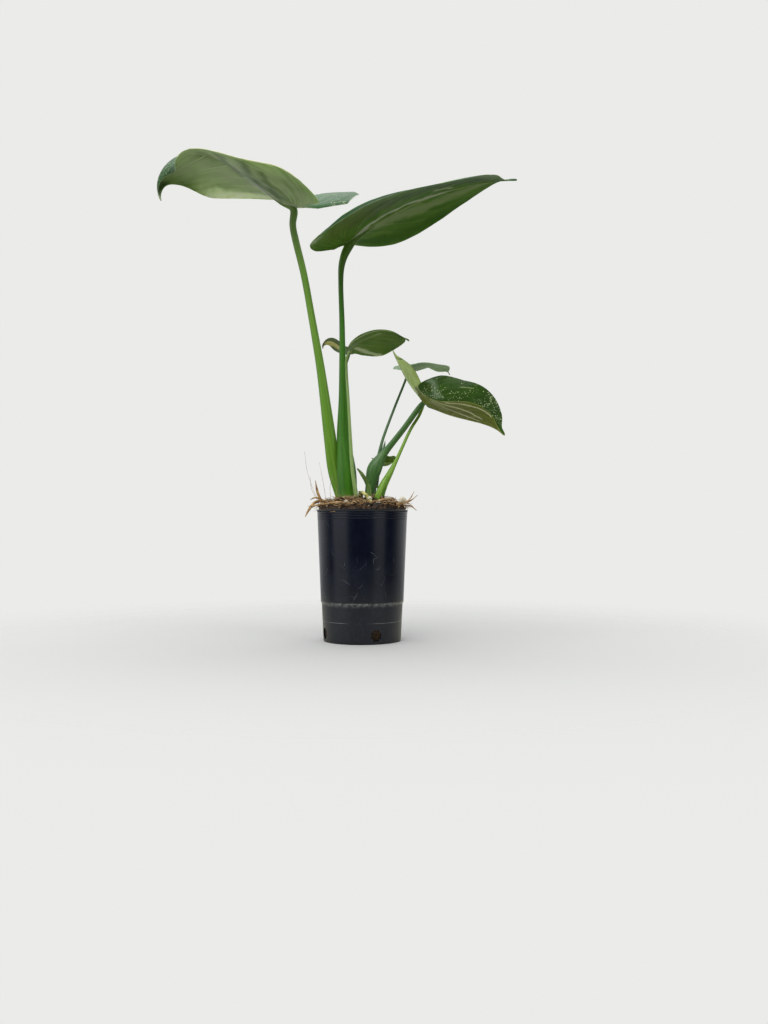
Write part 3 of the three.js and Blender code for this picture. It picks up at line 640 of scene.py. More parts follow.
# Each leaf's colours and marks, which leaf_face explains. Glow is how much light passes into the blade.
# Some marks are painted light: painted sheen, painted highlights and painted shade on the leaf's faces.
LOOKS = {
    "leaf_upper_left": dict(
        glow=0.6,
        upper=dict(base=0x1E461E, pale=0x2F5C2C, vein=0x5F8450, specks=0.5),
        under=dict(
            base=0x8CA468, pale=0xC0CCA8, vein=0xDCE4CC, vein_share=0.7, marks=[
                # Painted light and shade: the pale wide band and the near-white patch on the right half are
                # painted light and painted sheen where that half catches the light; the dark band and the
                # dark lines along the side veins on the left half are painted shade.
                (0xC2CCB2, 0.6, 44, 24, [(0.55, -0.45), (0.72, -0.5), (0.86, -0.4)]),
                (0x5E8040, 0.7, 26, 22, [(0.45, 0.3), (0.54, 0.42), (0.66, 0.35), (0.78, 0.25)]),
                (0x3F6222, 0.5, 2.4, 5, [(0.47, 0.06), (0.44, 0.45), (0.42, 0.8)]),
                (0x3F6222, 0.55, 3, 6, [(0.53, 0.06), (0.49, 0.5), (0.47, 0.9)]),
                (0x476A2A, 0.55, 3, 6, [(0.6, 0.06), (0.56, 0.5), (0.54, 0.9)]),
                (0x476A2A, 0.5, 3, 6, [(0.68, 0.06), (0.64, 0.45), (0.62, 0.8)]),
                (0x55763A, 0.5, 3, 6, [(0.77, 0.06), (0.72, 0.4), (0.7, 0.7)]),
                (0xEAF0E2, 0.85, 14, 14, [(0.57, -0.9), (0.68, -0.93)]),
                (0x3A5A1C, 0.85, 14, 9, [(0.93, -0.9), (0.97, -0.5), (1, 0)]),
                (0xEDEDD2, 0.95, 2.6, 1.4, [(0.28, 1.0), (0.42, 1.0), (0.6, 1.0)]),
            ]),
        stalk=dict(base=0x5C8E1E, pale=0x78A43A, foot=0xA9BE74, foot_end=0.15, head=0x86A45A)),
    "leaf_upper_right": dict(
        upper=dict(base=0x1F4822, pale=0x326034, vein=0x66844C, specks=0.6),
        under=dict(
            base=0x4C7C16, pale=0x6C9434, vein=0xA2B47A, vein_share=0.35, marks=[
                # Painted light and shade: the pale band on the left half, the pale line along the midrib and
                # the short pale streak beside it are painted sheen and painted highlights; the dark bands on
                # the right half and at the left margin are painted shade.
                (0x305608, 0.75, 30, 24, [(0.53, -0.5), (0.62, -0.6), (0.72, -0.6), (0.82, -0.5)]),
                (0x6A7C34, 0.6, 28, 20, [(0.3, -0.55), (0.4, -0.55), (0.46, -0.45)]),
                (0x97AC72, 0.8, 20, 14, [(0.47, 0.2), (0.6, 0.25), (0.7, 0.35), (0.82, 0.4), (0.92, 0.3)]),
                (0x3C6A0A, 0.8, 18, 12, [(0.45, 0.8), (0.56, 0.85), (0.66, 0.9), (0.74, 1.0)]),
                (0xD2DAC2, 0.85, 4, 4, [(0.46, 0), (0.54, -0.1), (0.65, -0.12), (0.78, 0), (0.9, 0.1)]),
                (0xB4C294, 0.8, 4, 3, [(0.71, -0.32), (0.77, -0.2)]),
                (0x4C8A60, 0.95, 11, 3, [(0.31, -0.97), (0.37, -0.9), (0.43, -0.88), (0.49, -0.96)]),
                (0x4C7A58, 0.9, 3, 1.5, [(0.49, -1.0), (0.6, -1.0)]),
                (0xD4E0BC, 0.95, 1.6, 0.8, [
                    (0.27, -1.0), (0.36, -0.8), (0.42, -0.77), (0.46, -0.84), (0.5, -0.91), (0.56, -0.98)]),
                (0xB9C8AC, 0.8, 8, 8, [(0.19, -1.0), (0.23, -0.9)]),
            ]),
        stalk=dict(base=0x316A04, pale=0x447E10, foot=0x9DBA58, foot_end=0.16, head=0x6E9238)),
    "leaf_middle": dict(
        upper=dict(base=0x243F18, pale=0x375426, vein=0x5F7C48, specks=0.4),
        under=dict(
            base=0x4A7212, pale=0x66882E, vein=0x9AAA72, vein_share=0.3, marks=[
                # Painted sheen: the three pale lines are painted sheen on the under face.
                (0xBAC69E, 0.85, 3, 2, [(0.48, -0.95), (0.58, -0.87), (0.67, -0.83), (0.8, -0.94)]),
                (0xBAC69E, 0.85, 2.6, 2, [(0.46, -0.36), (0.57, -0.27), (0.66, -0.25), (0.74, -0.4)]),
                (0xCAD4B2, 0.85, 3.4, 2.4, [(0.42, 0.28), (0.44, 0.76), (0.5, 0.95)]),
                (0x2E4A0C, 0.8, 5, 4, [(0.88, -0.7), (0.95, 0), (0.9, 0.7)]),
            ]),
        stalk=dict(base=0x7A9C4C, pale=0x9DB878)),
    "leaf_half_hidden": dict(
        upper=dict(base=0x4E663A, pale=0x6E8258, vein=0x87986C, specks=0.3),
        under=dict(base=0x66794F, pale=0x8A9A74, vein=0xA0AD88, marks=[
            (0xE6DE9C, 0.95, 8, 2.5, [(0.7, -0.35), (0.8, -0.55), (0.88, -0.2)]),
            (0x3C5222, 0.85, 2.5, 1.5, [(0.93, -0.8), (1, 0)]),
        ]),
        stalk=dict(base=0x4F7A2C, pale=0x6C9248)),
    "leaf_lower_right": dict(
        upper=dict(
            base=0x1F3A04, pale=0x304F0C, vein=0x4C6A26, vein_share=0.3, specks=0.6, marks=[
                # Painted sheen: both pale strokes are painted sheen on the upper face.
                (0x74886A, 0.6, 5, 5, [(0.24, 0.88), (0.35, 0.5), (0.46, 0.3)]),
                (0x9CAC74, 0.45, 0.8, 1.8, [(0.54, 0.76), (0.6, 0.83)]),
            ]),
        under=dict(
            base=0x545F12, pale=0x7C873A, vein=0xA6A978, vein_share=0.35, marks=[
                # Painted sheen: the pale lines and the muted pale patch are painted sheen on the under face.
                (0xD2D4B4, 0.9, 2, 1.6, [(0.62, -0.9), (0.72, -0.84), (0.82, -0.92)]),
                (0xCACDA8, 0.85, 2.2, 1.8, [(0.52, -0.85), (0.62, -0.68), (0.72, -0.52), (0.8, -0.35)]),
                (0xCACDA8, 0.85, 1.8, 1.6, [(0.5, -0.6), (0.6, -0.42), (0.7, -0.25), (0.8, -0.12)]),
                (0x8E9464, 0.6, 7, 6, [(0.45, -0.4), (0.56, -0.3)]),
            ]),
        stalk=dict(base=0x3A652D, pale=0x58813F)),
    "leaf_rolled": dict(
        upper=dict(base=0x9CB25E, pale=0xB6CA8A, vein=0xCAD8AE, specks=0.3),
        under=dict(
            base=0x9CB25E, pale=0xBBCD8E, vein=0xCEDAB4, specks=0.4, marks=[
                (0x4C6630, 0.8, 0.9, 0.6, [(0.2, -1.0), (0.5, -1.0), (0.8, -1.0), (1, 0)]),
                (0x4C6630, 0.8, 0.9, 0.6, [(0.2, 1.0), (0.5, 1.0), (0.8, 1.0), (1, 0)]),
                (0x5C7636, 0.8, 3, 2, [(0.95, 0), (1, 0)]),
            ]),
        stalk=dict(base=0x649416, pale=0x94BC44, foot=0x4C8414, foot_end=0.45, stripes=20.0)),
    "leaf_back": dict(
        upper=dict(base=0x5C7C4E, pale=0x7C9A70, vein=0x9AB08C, specks=0.3),
        under=dict(base=0x86A87C, pale=0xA2BA98, vein=0xBCCCB2),
        stalk=dict(base=0x3C6634, pale=0x587E4C)),
    "leaf_small": dict(
        upper=dict(base=0x4A7214, pale=0x668C2A, vein=0xA6BA74, vein_share=0.6),
        under=dict(base=0x547C18, pale=0x709432, vein=0xA6BA74, vein_share=0.6),
        stalk=dict(base=0x5A8E20, pale=0x7CA43C)),
}


def to_whole(value):
    """How far a value is from the nearest whole number."""
    return abs(value - value.maths("ROUND"))


def speckles(place, share):
    """Fine cream specks in loose drifts, with a few larger splashes."""
    drift = noise(place, 38.0).ramp(0.4, 0.64)
    splash = noise(place, 110.0, 6.0, 0.78).ramp(0.665, 0.685)
    marks = splash * min(1.0, share * 1.5)
    for scale, common in ((1300.0, 0.32), (700.0, 0.3)):
        (pick, *_), distance, _ = cells(place, scale)
        chosen = (drift * (share * common)).maths("GREATER_THAN", pick)
        marks = marks.maths("MAXIMUM", chosen * distance.ramp(0.5, 0.3))
    return marks


def stroke(spot, size, route, width, soft):
    """A mask for a soft line through points of a leaf's map, its width in millimetres."""
    tree = spot.tree
    nearest = None
    for start, end in zip(route, route[1:]):
        start, end = np.multiply(start, size), np.multiply(end, size)
        run = end - start
        across = vector_maths(tree, "SUBTRACT", spot, (*start, 0))
        along = vector_maths(tree, "DOT_PRODUCT", across, (*(run / (run @ run)), 0))
        foot = vector_maths(tree, "SCALE", (*run, 0), Scale=along.maths("ADD", 0.0, clamp=True))
        off = vector_maths(tree, "DISTANCE", across, foot)
        nearest = off if nearest is None else nearest.maths("MINIMUM", off)
    return nearest.ramp((width + soft) / 2, max(0.0, width - soft) / 2)


def leaf_face(name, leaf, base, pale, vein, specks=0.0, vein_share=0.5, marks=(), **surface):
    """One face of a leaf: streaks along its side veins, paler veins, marks and cream specks.

    A mark is a colour, its share, width and softness in millimetres, and points of the leaf's map: the row
    from the stalk's notch to the tip, and the way out to the margin, below 0 on the right half. Some marks
    are the leaf's own patches and edges, others are painted sheen, painted highlights and painted shade.
    """
    material, tree = new_material(name)
    place = object_place(tree)
    row, across = map_place(tree)
    out = across * 2.0 - 1.0
    edge = abs(out)
    phase = (row - edge * edge * VEIN_SWEEP) * leaf["veins"]
    side_vein = to_whole(phase).ramp(0.06, 0.0) * edge.ramp(0.95, 0.3)
    fine_vein = to_whole(phase * 5.0).ramp(0.3, 0.0)
    midrib = edge.ramp(0.05, 0.012)

    streak = noise(vector(phase * 1.6, edge * 1.7), 1.6, 5.0, 0.6)
    broad = noise(place, 28.0, 2.0)
    colour = mixed((streak * 0.5 + broad * 0.5).ramp(0.35, 0.65), base, pale)
    for mask, share in ((fine_vein, 0.22 * vein_share), (side_vein, vein_share), (midrib, 0.8)):
        colour = mixed(mask * share, colour, vein)

    size = (MAP_LENGTH * leaf["length"], leaf["width"] / 2)
    spot = vector(row * size[0], out * size[1])
    waver = noise_shift(place, 90.0, 1.2)
    # The marks: the leaf's own patches, and on some leaves painted sheen, painted highlights and painted
    # shade.
    for mark, share, width, soft, route in marks:
        warped = vector_maths(tree, "ADD", spot, vector_maths(tree, "SCALE", waver, Scale=soft))
        flat = vector_maths(tree, "MULTIPLY", warped, (1, 1, 0))
        colour = mixed(stroke(flat, size, route, width, soft) * share, colour, mark)
    colour = mixed(side_vein * (0.5 * vein_share), colour, vein)
    if specks:
        colour = mixed(speckles(place, specks) * 0.7, colour, CREAM)

    relief = fine_vein * -0.5 + noise(place, 900.0)
    rough = (streak - 0.5) * 0.35 + LEAF_ROUGHNESS
    return dressed(material, colour, relief, 0.25, 0.0002, rough, **surface)


def stalk_finish(name, base, pale, foot=0xA9B77C, foot_end=0.1, stripes=10.0, head=None):
    """A stalk: fine stripes along it, a paler foot and a joint of another tone under the blade."""
    material, tree = new_material(name)
    along, around = map_place(tree)
    turn = around * (2 * math.pi)
    ring = vector(turn.maths("COSINE") * (stripes / 6), turn.maths("SINE") * (stripes / 6), along * 3.0)
    stripe = noise(ring, 2.2, 5.0, 0.65)
    mottle = noise(object_place(tree), 350.0, 4.0)
    colour = mixed(stripe.ramp(0.36, 0.68), base, pale)
    colour = mixed(mottle.ramp(0.55, 0.75) * 0.25, colour, pale)
    low = (along + stripe * 0.05).ramp(foot_end, foot_end * 0.35)
    colour = mixed(low * 0.8, colour, foot)
    if head:
        colour = mixed(along.ramp(0.55, 0.85) * stripe.ramp(0.3, 0.6, 0.5, 1.0), colour, head)
    return dressed(material, colour, stripe + mottle * 0.3, 0.35, 0.0003, 0.38)


def leaf_finishes(name):
    """The finishes of a leaf's upper face, its under face and its stalk."""
    looks = LOOKS[name]
    finishes = []
    for face, shine, glow in (("upper", 0.14, 0.12), ("under", 0.16, looks.get("glow", 0.25))):
        surface = {"Specular IOR Level": shine, "Subsurface Weight": glow, **LEAF_DEPTH}
        finishes.append(leaf_face(f"{name}_{face}", LEAVES[name], **looks[face], **surface))
    return [*finishes, stalk_finish(f"{name}_stalk", **looks["stalk"])]


def leaves():
    for name, leaf in LEAVES.items():
        shells = [(blade(leaf), 0), (stalk(full_stalk(leaf), channel=leaf["channel"]), 2)]
        if name in SHEATH_TIPS:
            shells.append((stalk(SHEATH_TIPS[name], sides=16, depth=0.3), 2))
        piece = piece_of(f"{name}_grown", shells, leaf_finishes(name))
        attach(piece, "root")
        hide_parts(name)


# Pot


def pot_radius(height):
    """The outer radius of the pot at a height on its plain wall."""
    if height < LEDGE_HEIGHT:
        return FOOT_RADIUS + (LEDGE_RADIUS - LEDGE_STEP - FOOT_RADIUS) * height / LEDGE_HEIGHT
    share = (height - LEDGE_HEIGHT) / (POT_HEIGHT - LEDGE_HEIGHT)
    return LEDGE_RADIUS + (SHOULDER_RADIUS - LEDGE_RADIUS) * share


def pot_profile():
    """Radii and heights from the middle of the underside, up the outside and down the inside."""
    profile = [(0, 0.6), (30, 0.6), (31, 0)]
    profile += [(FOOT_RADIUS - 0.9, 0), (FOOT_RADIUS - 0.25, 0.25), (FOOT_RADIUS, 0.9)]
    low = LEDGE_HEIGHT - LEDGE_STEP
    profile += [(pot_radius(height), height) for height in np.linspace(3, low - 1, 6)]
    profile += [(pot_radius(low), low - 0.25), (pot_radius(low) + 0.2, low + 0.05)]
    profile += [(LEDGE_RADIUS - 0.25, LEDGE_HEIGHT - 0.35), (LEDGE_RADIUS, LEDGE_HEIGHT + 0.1)]
    ring_start = RING_TOP - (RIM_RINGS + 0.6) * RING_PITCH
    profile += [(pot_radius(height), height) for height in np.linspace(LEDGE_HEIGHT + 2, ring_start, 12)]
    for height in np.linspace(ring_start + 0.3, RING_TOP - 0.4 * RING_PITCH, 24):
        phase = math.cos(2 * math.pi * (RING_TOP - height) / RING_PITCH)
        profile.append((pot_radius(height) + RING_RISE * max(0.0, phase) ** 2, height))
    profile += [(RIM_RADIUS - 0.35, POT_HEIGHT - 1.25), (RIM_RADIUS, POT_HEIGHT - 0.9)]
    profile += [(RIM_RADIUS, POT_HEIGHT - 0.45), (RIM_RADIUS - 0.35, POT_HEIGHT - 0.05)]
    profile += [(RIM_RADIUS - 0.9, POT_HEIGHT)]
    inner = SHOULDER_RADIUS - POT_WALL
    profile += [(inner + 0.3, POT_HEIGHT - 0.1), (inner, POT_HEIGHT - 0.5)]
    for height in (100, 70, LEDGE_HEIGHT, LEDGE_HEIGHT - 1, 20, POT_FLOOR + 0.8):
        profile.append((pot_radius(height) - POT_WALL, height))
    profile += [(pot_radius(POT_FLOOR) - POT_WALL - 0.8, POT_FLOOR), (0, POT_FLOOR)]
    return profile


def turned(name, profile, sides):
    """A closed turned body about +Z from radii and heights, its axis ends joined into poles."""
    work = bmesh.new()
    previous = None
    turns = [2 * math.pi * side / sides for side in range(sides)]
    for radius, height in np.multiply(profile, MM).tolist():
        if radius == 0:
            ring = [work.verts.new((0, 0, height))]
        else:
            ring = [work.verts.new((radius * math.cos(t), radius * math.sin(t), height)) for t in turns]
        if previous is not None:
            for side in range(sides):
                a, b = previous[side % len(previous)], previous[(side + 1) % len(previous)]
                c, d = ring[(side + 1) % len(ring)], ring[side % len(ring)]
                work.faces.new([v for k, v in enumerate((a, b, c, d)) if v not in (a, b, c, d)[:k]])
        previous = ring
    bmesh.ops.recalc_face_normals(work, faces=work.faces)
    return built(name, work)


def drainage_cutters():
    """Rounded notches, which cut the holes in the foot of the pot's wall."""
    work = bmesh.new()
    for hole in range(HOLE_COUNT):
        turn = math.radians(HOLE_TURN - 90 + hole * 360 / HOLE_COUNT)
        corners = bmesh.ops.create_cube(work, size=1)["verts"]
        for vertex in corners:
            x, y, z = vertex.co
            height = (HOLE_TOP + HOLE_BOTTOM) / 2 + z * (HOLE_TOP - HOLE_BOTTOM)
            vertex.co = (FOOT_RADIUS + x * HOLE_DEPTH, y * HOLE_WIDTH, height)
        edges = {edge for vertex in corners for edge in vertex.link_edges}
        outward = [edge for edge in edges if abs((edge.verts[0].co - edge.verts[1].co).x) > 1]
        made = bmesh.ops.bevel(work, geom=outward, offset=HOLE_ROUNDING, segments=5, affect="EDGES")
        for vertex in {vertex for vertex in (*corners, *made["verts"]) if vertex.is_valid}:
            x, y, z = vertex.co * MM
            vertex.co = (x * math.cos(turn) - y * math.sin(turn), x * math.sin(turn) + y * math.cos(turn), z)
    return built("drainage_cutters", work)


def baked(item):
    """The object with its modifiers made into its mesh."""
    bpy.context.view_layer.update()
    result = bpy.data.meshes.new_from_object(item.evaluated_get(bpy.context.evaluated_depsgraph_get()))
    item.modifiers.clear()
    item.data = result
    return item


def band(height, start, bottom, top, end):
    """1 from bottom to top, and 0 below start and above end, all in millimetres."""
    return height.ramp(start * MM, bottom * MM) * height.ramp(end * MM, top * MM)


def scratches(across, scale, width, common):
    """Thin curved lines: one arc in some cells of the pot's unrolled wall."""
    tree = across.tree
    (way, bow, pick), _, middle = cells(across, scale, "2D")
    turn = way * (2 * math.pi)
    bend = bow * (1.4 / scale) + 0.5 / scale
    to_middle = vector(turn.maths("COSINE") * bend, turn.maths("SINE") * bend)
    local = vector_maths(tree, "SUBTRACT", across, middle)
    reach = vector_maths(tree, "LENGTH", vector_maths(tree, "SUBTRACT", local, to_middle))
    end = vector_maths(tree, "LENGTH", local)
    line = abs(reach - bend).ramp(width, width * 0.35) * end.ramp(0.5 / scale, 0.25 / scale)
    return line * common.maths("GREATER_THAN", pick)


def pot_finish():
    """Glossy black plastic with a blue cast, scuffed above the ledge and dusty on it and below."""
    material, tree = new_material("black_nursery_plastic")
    place = object_place(tree)
    x, y, height = place.parts()
    turn = x.maths("ARCTAN2", y * -1.0)
    smudge = noise(place, 60.0, 5.0, 0.65)
    dust = noise(place, 320.0, 5.0, 0.7)
    colour = mixed(smudge.ramp(0.35, 0.75), 0x02071A, 0x080F22)

    worn = band(height, 30, 50, 70, 100) * 0.85 + 0.12
    wander = vector_maths(tree, "SCALE", noise(place, 70.0, 2.0, 0.5, "Color"), Scale=0.012)
    drifted = vector_maths(tree, "ADD", vector(turn * 0.042, height), wander)
    lines = scratches(drifted, 48.0, 0.00034, worn)
    for spread, scale in ((1.37, 110.0), (0.83, 75.0), (1.11, 130.0)):
        spread_out = vector_maths(tree, "SCALE", drifted, Scale=spread)
        lines = lines.maths("MAXIMUM", scratches(spread_out, scale, 0.0003, worn))
    scuffs = lines * noise(place, 90.0).ramp(0.35, 0.65, 0.25, 1.0)
    colour = mixed(scuffs * 0.36, colour, 0x78828F)

    low = height.ramp(0.0385, 0.0365)
    colour = mixed(low * dust.ramp(0.45, 0.75, 0.0, 0.35), colour, 0x2C2D30)
    worn_ledge = noise(vector(turn * 1.3, height * 900.0), 1.0).ramp(0.35, 0.6, 0.35, 1.0)
    ledge = band(height, 33, 37.8, 38.4, 39.3).maths("POWER", 2.0) * dust.ramp(0.3, 0.65) * worn_ledge
    colour = mixed(ledge * 0.5, colour, 0xA4A8AC)
    water_line = band(height, 19.6, 19.9, 20, 20.3) * noise(place, 45.0).ramp(0.45, 0.6)
    colour = mixed(water_line * 0.5, colour, 0x9A9EA4)
    grains = cells(place, 700.0)[1]
    specks = grains.ramp(0.16, 0.08) * noise(place, 130.0).ramp(0.55, 0.7)
    colour = mixed(specks * 0.3, colour, 0x8C8F92)

    rough = smudge * 0.16 + 0.16 + low * 0.12 + scuffs * 0.2
    relief = dust * 0.25 - lines
    return dressed(material, colour, relief, 0.15, 0.0002, rough, **{"Specular IOR Level": 0.42})


def pot():
    body = turned("nursery_pot", pot_profile(), POT_SIDES)
    cutters = drainage_cutters()
    cut = body.modifiers.new("drainage", "BOOLEAN")
    cut.object = cutters
    cut.solver = "EXACT"
    baked(body)
    bpy.data.objects.remove(cutters)
    body.data.materials.clear()
    body.data.materials.append(pot_finish())
    body.data.shade_smooth()
    body.data.set_sharp_from_angle(angle=math.radians(38))
    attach(body, "root")
    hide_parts("pot")


# Potting mix

# Single slivers, hairs and chips, as points x, y, z and width.
SLIVERS = [
    [(-40, -12, 137, 3), (-47, -13, 134, 2.8), (-52, -14, 127, 2.2), (-55, -14, 121, 0.8)],
    [(-39, -15, 135, 2.2), (-43, -16, 145, 2.6), (-45, -17, 156, 0.5)],
    [(-36, -20, 134, 1.6), (-46, -21, 131.5, 1.4), (-52, -22, 131, 0.5)],
    [(-35, -6, 136, 2), (-45, -6, 140, 1.8), (-51, -6, 138, 0.6)],
    [(36, -18, 133, 1.6), (46, -19, 136, 1.4), (54, -20, 142, 0.4)],
    [(38, -15, 132, 1.6), (47, -16, 131.4, 1.3), (53, -17, 127, 0.5)],
    [(33, -27, 133, 1.2), (43, -28, 134, 1), (49, -29, 130.6, 0.4)],
    [(38, -8, 134, 1.4), (46, -8, 138, 1.2), (51, -8, 146, 0.4)],
    [(-36, -26, 133, 1.6), (-20, -34, 134.5, 1.8), (-4, -38, 132.5, 0.8)],
    [(4, -38, 132.5, 1), (20, -33, 137, 1.6), (33, -22, 138, 0.8)],
]
ROOT_HAIRS = [
    [(-40, -10, 134, 0.35), (-47, -11, 146, 0.3), (-53.5, -12, 166, 0.26), (-56, -12, 185, 0.16)],
    [(-35, -12, 137, 0.35), (-38, -12, 156, 0.28), (-42, -12, 175, 0.16)],
    [(-30, -14, 138, 0.35), (-31, -14, 150, 0.28), (-28, -14, 162, 0.16)],
    [(-42, -14, 135, 0.35), (-49, -15, 148, 0.28), (-50, -15, 160, 0.16)],
    [(-26, -16, 139, 0.35), (-24, -17, 150, 0.28), (-27, -18, 158, 0.16)],
]
PALE_CHIPS = [
    [(35, -27, 135, 2), (39, -27.5, 137, 6), (43, -27, 135.5, 2)],
    [(-17, -36, 133.5, 1), (-14.5, -36, 135, 3.4), (-12, -36, 134, 1)],
    [(6, -34, 137, 1), (8, -34, 138.6, 3), (10, -34, 137.6, 1)],
    [(14, -33, 133.5, 1), (16, -33, 134.8, 2.6), (18, -33, 134, 1)],
]


def mix_height(x, y):
    share = np.hypot(x, y) / RIM_RADIUS
    lumps = np.sin(x * 0.31 + 1) * np.cos(y * 0.27) + 0.7 * np.sin(x * 0.13 - y * 0.19)
    return MIX_EDGE + (MIX_CROWN - MIX_EDGE) * (1 - share * share) + MIX_ROUGHNESS * lumps


def mix_heap():
    """The mix in the pot, with its top broken into crumbs."""
    top = pot_radius(POT_HEIGHT) - POT_WALL - GAP
    profile = [(top * ring / MIX_RINGS, 0) for ring in range(MIX_RINGS + 1)]
    for height in (110, LEDGE_HEIGHT, LEDGE_HEIGHT - 1):
        profile.append((pot_radius(height) - POT_WALL - GAP, height))
    profile += [(pot_radius(POT_FLOOR) - POT_WALL - GAP, POT_FLOOR + GAP), (0, POT_FLOOR + GAP)]
    item = turned("potting_mix_heap", profile, MIX_SIDES)
    work = bmesh.new()
    work.from_mesh(item.data)
    rng = np.random.default_rng(5)
    waves = []
    for _ in range(CRUMB_WAVES):
        way = rng.uniform(0.4, 3.2, 2) * rng.choice([-1, 1], 2)
        waves.append((way, rng.uniform(0, 6.3), rng.uniform(0.15, 0.5)))
    for vertex in work.verts:
        x, y, z = np.array(vertex.co) / MM
        if z == 0:
            rough = sum(size * math.sin(way[0] * x + way[1] * y + shift) for way, shift, size in waves)
            fade = float(smooth((top - math.hypot(x, y)) / CRUMB_EDGE))
            vertex.co.z = (mix_height(x, y) + CRUMB_HEIGHT * rough * fade) * MM
    bmesh.ops.recalc_face_normals(work, faces=work.faces)
    work.to_mesh(item.data)
    work.free()
    item.data.shade_smooth()
    item.data.materials.append(mix_finish())
    return item


def mix_finish():
    material, tree = new_material("dark_potting_mix")
    place = object_place(tree)
    (tone, *_), distance, _ = cells(place, 520.0)
    damp = noise(place, 120.0, 5.0)
    colour = mixed(damp.ramp(0.35, 0.6), 0x1C120B, mixed(tone, 0x2A1C12, 0x5A4028))
    return dressed(material, colour, damp - distance, 0.9, 0.001, 0.93)


def tinted_finish(name, dark, middle, pale, grain=600.0, roughness=0.85, stretch=(1, 1, 1)):
    """A husk or bark finish, whose tone changes from piece to piece with its place."""
    material, tree = new_material(name)
    place = object_place(tree)
    broad = noise(place, 150.0, 1.0)
    fine = noise(vector_maths(tree, "MULTIPLY", place, stretch), grain, 4.0, 0.7)
    colour = mixed(broad.ramp(0.3, 0.5), dark, middle)
    colour = mixed(broad.ramp(0.5, 0.72), colour, pale)
    colour = mixed(fine.ramp(0.55, 0.35) * 0.6, colour, dark)
    return dressed(material, colour, fine, 0.5, 0.0004, roughness)


class Growth:
    """A Geometry Nodes tree that is built, given its inputs, applied to a piece and taken away again."""

    def __init__(self, name, **inputs):
        self.name = name
        self.tree = bpy.data.node_groups.new(name, "GeometryNodeTree")
        self.settings = {}
        new_socket = self.tree.interface.new_socket
        new_socket("Geometry", in_out="INPUT", socket_type="NodeSocketGeometry")
        for label, value in inputs.items():
            kind = {"Seed": "Int", "Material": "Material"}.get(label, "Float")
            socket = new_socket(label, in_out="INPUT", socket_type=f"NodeSocket{kind}")
            self.settings[socket.identifier] = value
        new_socket("Geometry", in_out="OUTPUT", socket_type="NodeSocketGeometry")
        self.start = self.tree.nodes.new("NodeGroupInput")

    def given(self, label):
        return Value(self.start.outputs[label])

    def take(self, kind, sockets=None, outlet=0, **settings):
        return take(self.tree, kind, sockets, outlet, **settings)

    def random(self, low, high, seed, kind="FLOAT"):
        first, second, outlet = {"FLOAT": (2, 3, 1), "FLOAT_VECTOR": (0, 1, 0)}[kind]
        sockets = {first: low, second: high, "Seed": seed}
        return self.take("FunctionNodeRandomValue", sockets, outlet, data_type=kind)

    def scattered(self, thing, turn, scale):
        """Copies of a thing, laid on the ground at random."""
        sockets = {"Mesh": self.given("Geometry")}
        sockets.update((label, self.given(label)) for label in ("Density", "Seed"))
        spots = self.take("GeometryNodeDistributePointsOnFaces", sockets, "Points")
        sockets = {"Points": spots, "Instance": thing, "Rotation": turn, "Scale": scale}
        laid = self.take("GeometryNodeInstanceOnPoints", sockets)
        return self.take("GeometryNodeRealizeInstances", {"Geometry": laid})

    def moved(self, geometry, scale, size, detail, lift=None):
        """The geometry with its points shifted at random, and lifted."""
        shift = noise_shift(self.take("GeometryNodeInputPosition"), scale, size, detail)
        if lift:
            shift = vector_maths(self.tree, "ADD", shift, self.take("ShaderNodeCombineXYZ", {2: lift}))
        return self.take("GeometryNodeSetPosition", {"Geometry": geometry, "Offset": shift})

    def grown(self, geometry, ground):
        """The piece that grows on the ground, as a plain mesh."""
        real = self.take("GeometryNodeRealizeInstances", {"Geometry": geometry})
        sockets = {"Geometry": real, "Material": self.given("Material")}
        node(self.tree, "NodeGroupOutput", {0: self.take("GeometryNodeSetMaterial", sockets)})
        item = placed(self.name, ground.data.copy())
        modifier = item.modifiers.new(self.name, "NODES")
        modifier.node_group = self.tree
        for identifier, value in self.settings.items():
            modifier[identifier] = value
        return baked(item)


def top_of(heap):
    """The part of the heap's surface that things grow from or lie on, clear of the thick root."""
    mesh = heap.data.copy()
    work = bmesh.new()
    work.from_mesh(mesh)
    gone = []
    for face in work.faces:
        x, y, z = np.array(face.calc_center_median()) / MM
        lies_up = face.normal.z > 0.2 and z > GROWTH_FLOOR and math.hypot(x, y) < GROWTH_REACH
        if not lies_up or min(math.hypot(x - spot[0], y - spot[1]) for spot in ROOT[:4]) <= ROOT_CLEARANCE:
            gone.append(face)
    bmesh.ops.delete(work, geom=gone, context="FACES")
    work.to_mesh(mesh)
    work.free()
    return placed("mix_top", mesh)


def husk_fibres(top, name, density, length, radius, lift, seed, material):
    """Fibres of husk, laid on the mix at random and bent."""
    sizes = {"Density": density, "Length": length, "Radius": radius, "Lift": lift}
    grow = Growth(name, **sizes, Seed=seed, Material=material)
    straight = grow.take("GeometryNodeCurvePrimitiveLine", {"Start": (-0.5, 0, 0), "End": (0.5, 0, 0)})
    line = grow.take("GeometryNodeResampleCurve", {"Curve": straight, "Count": 10})
    turn = grow.random((-0.35, -0.45, 0), (0.35, 0.45, 2 * math.pi), seed + 1, "FLOAT_VECTOR")
    long = grow.random(0.45, 1.3, seed + 2) * grow.given("Length")
    hump = (grow.take("GeometryNodeSplineParameter", outlet="Factor") * math.pi).maths("SINE")
    bent = grow.moved(grow.scattered(line, turn, long), 130.0, 0.011, 1.0, hump * grow.given("Lift"))
    section = grow.take("GeometryNodeCurvePrimitiveCircle", {"Resolution": 5, "Radius": grow.given("Radius")})
    sockets = {"Curve": bent, "Profile Curve": section, "Scale": hump * 0.75 + 0.3, "Fill Caps": True}
    tube = grow.take("GeometryNodeCurveToMesh", sockets)
    return grow.grown(grow.take("GeometryNodeSetShadeSmooth", {"Geometry": tube}), top)


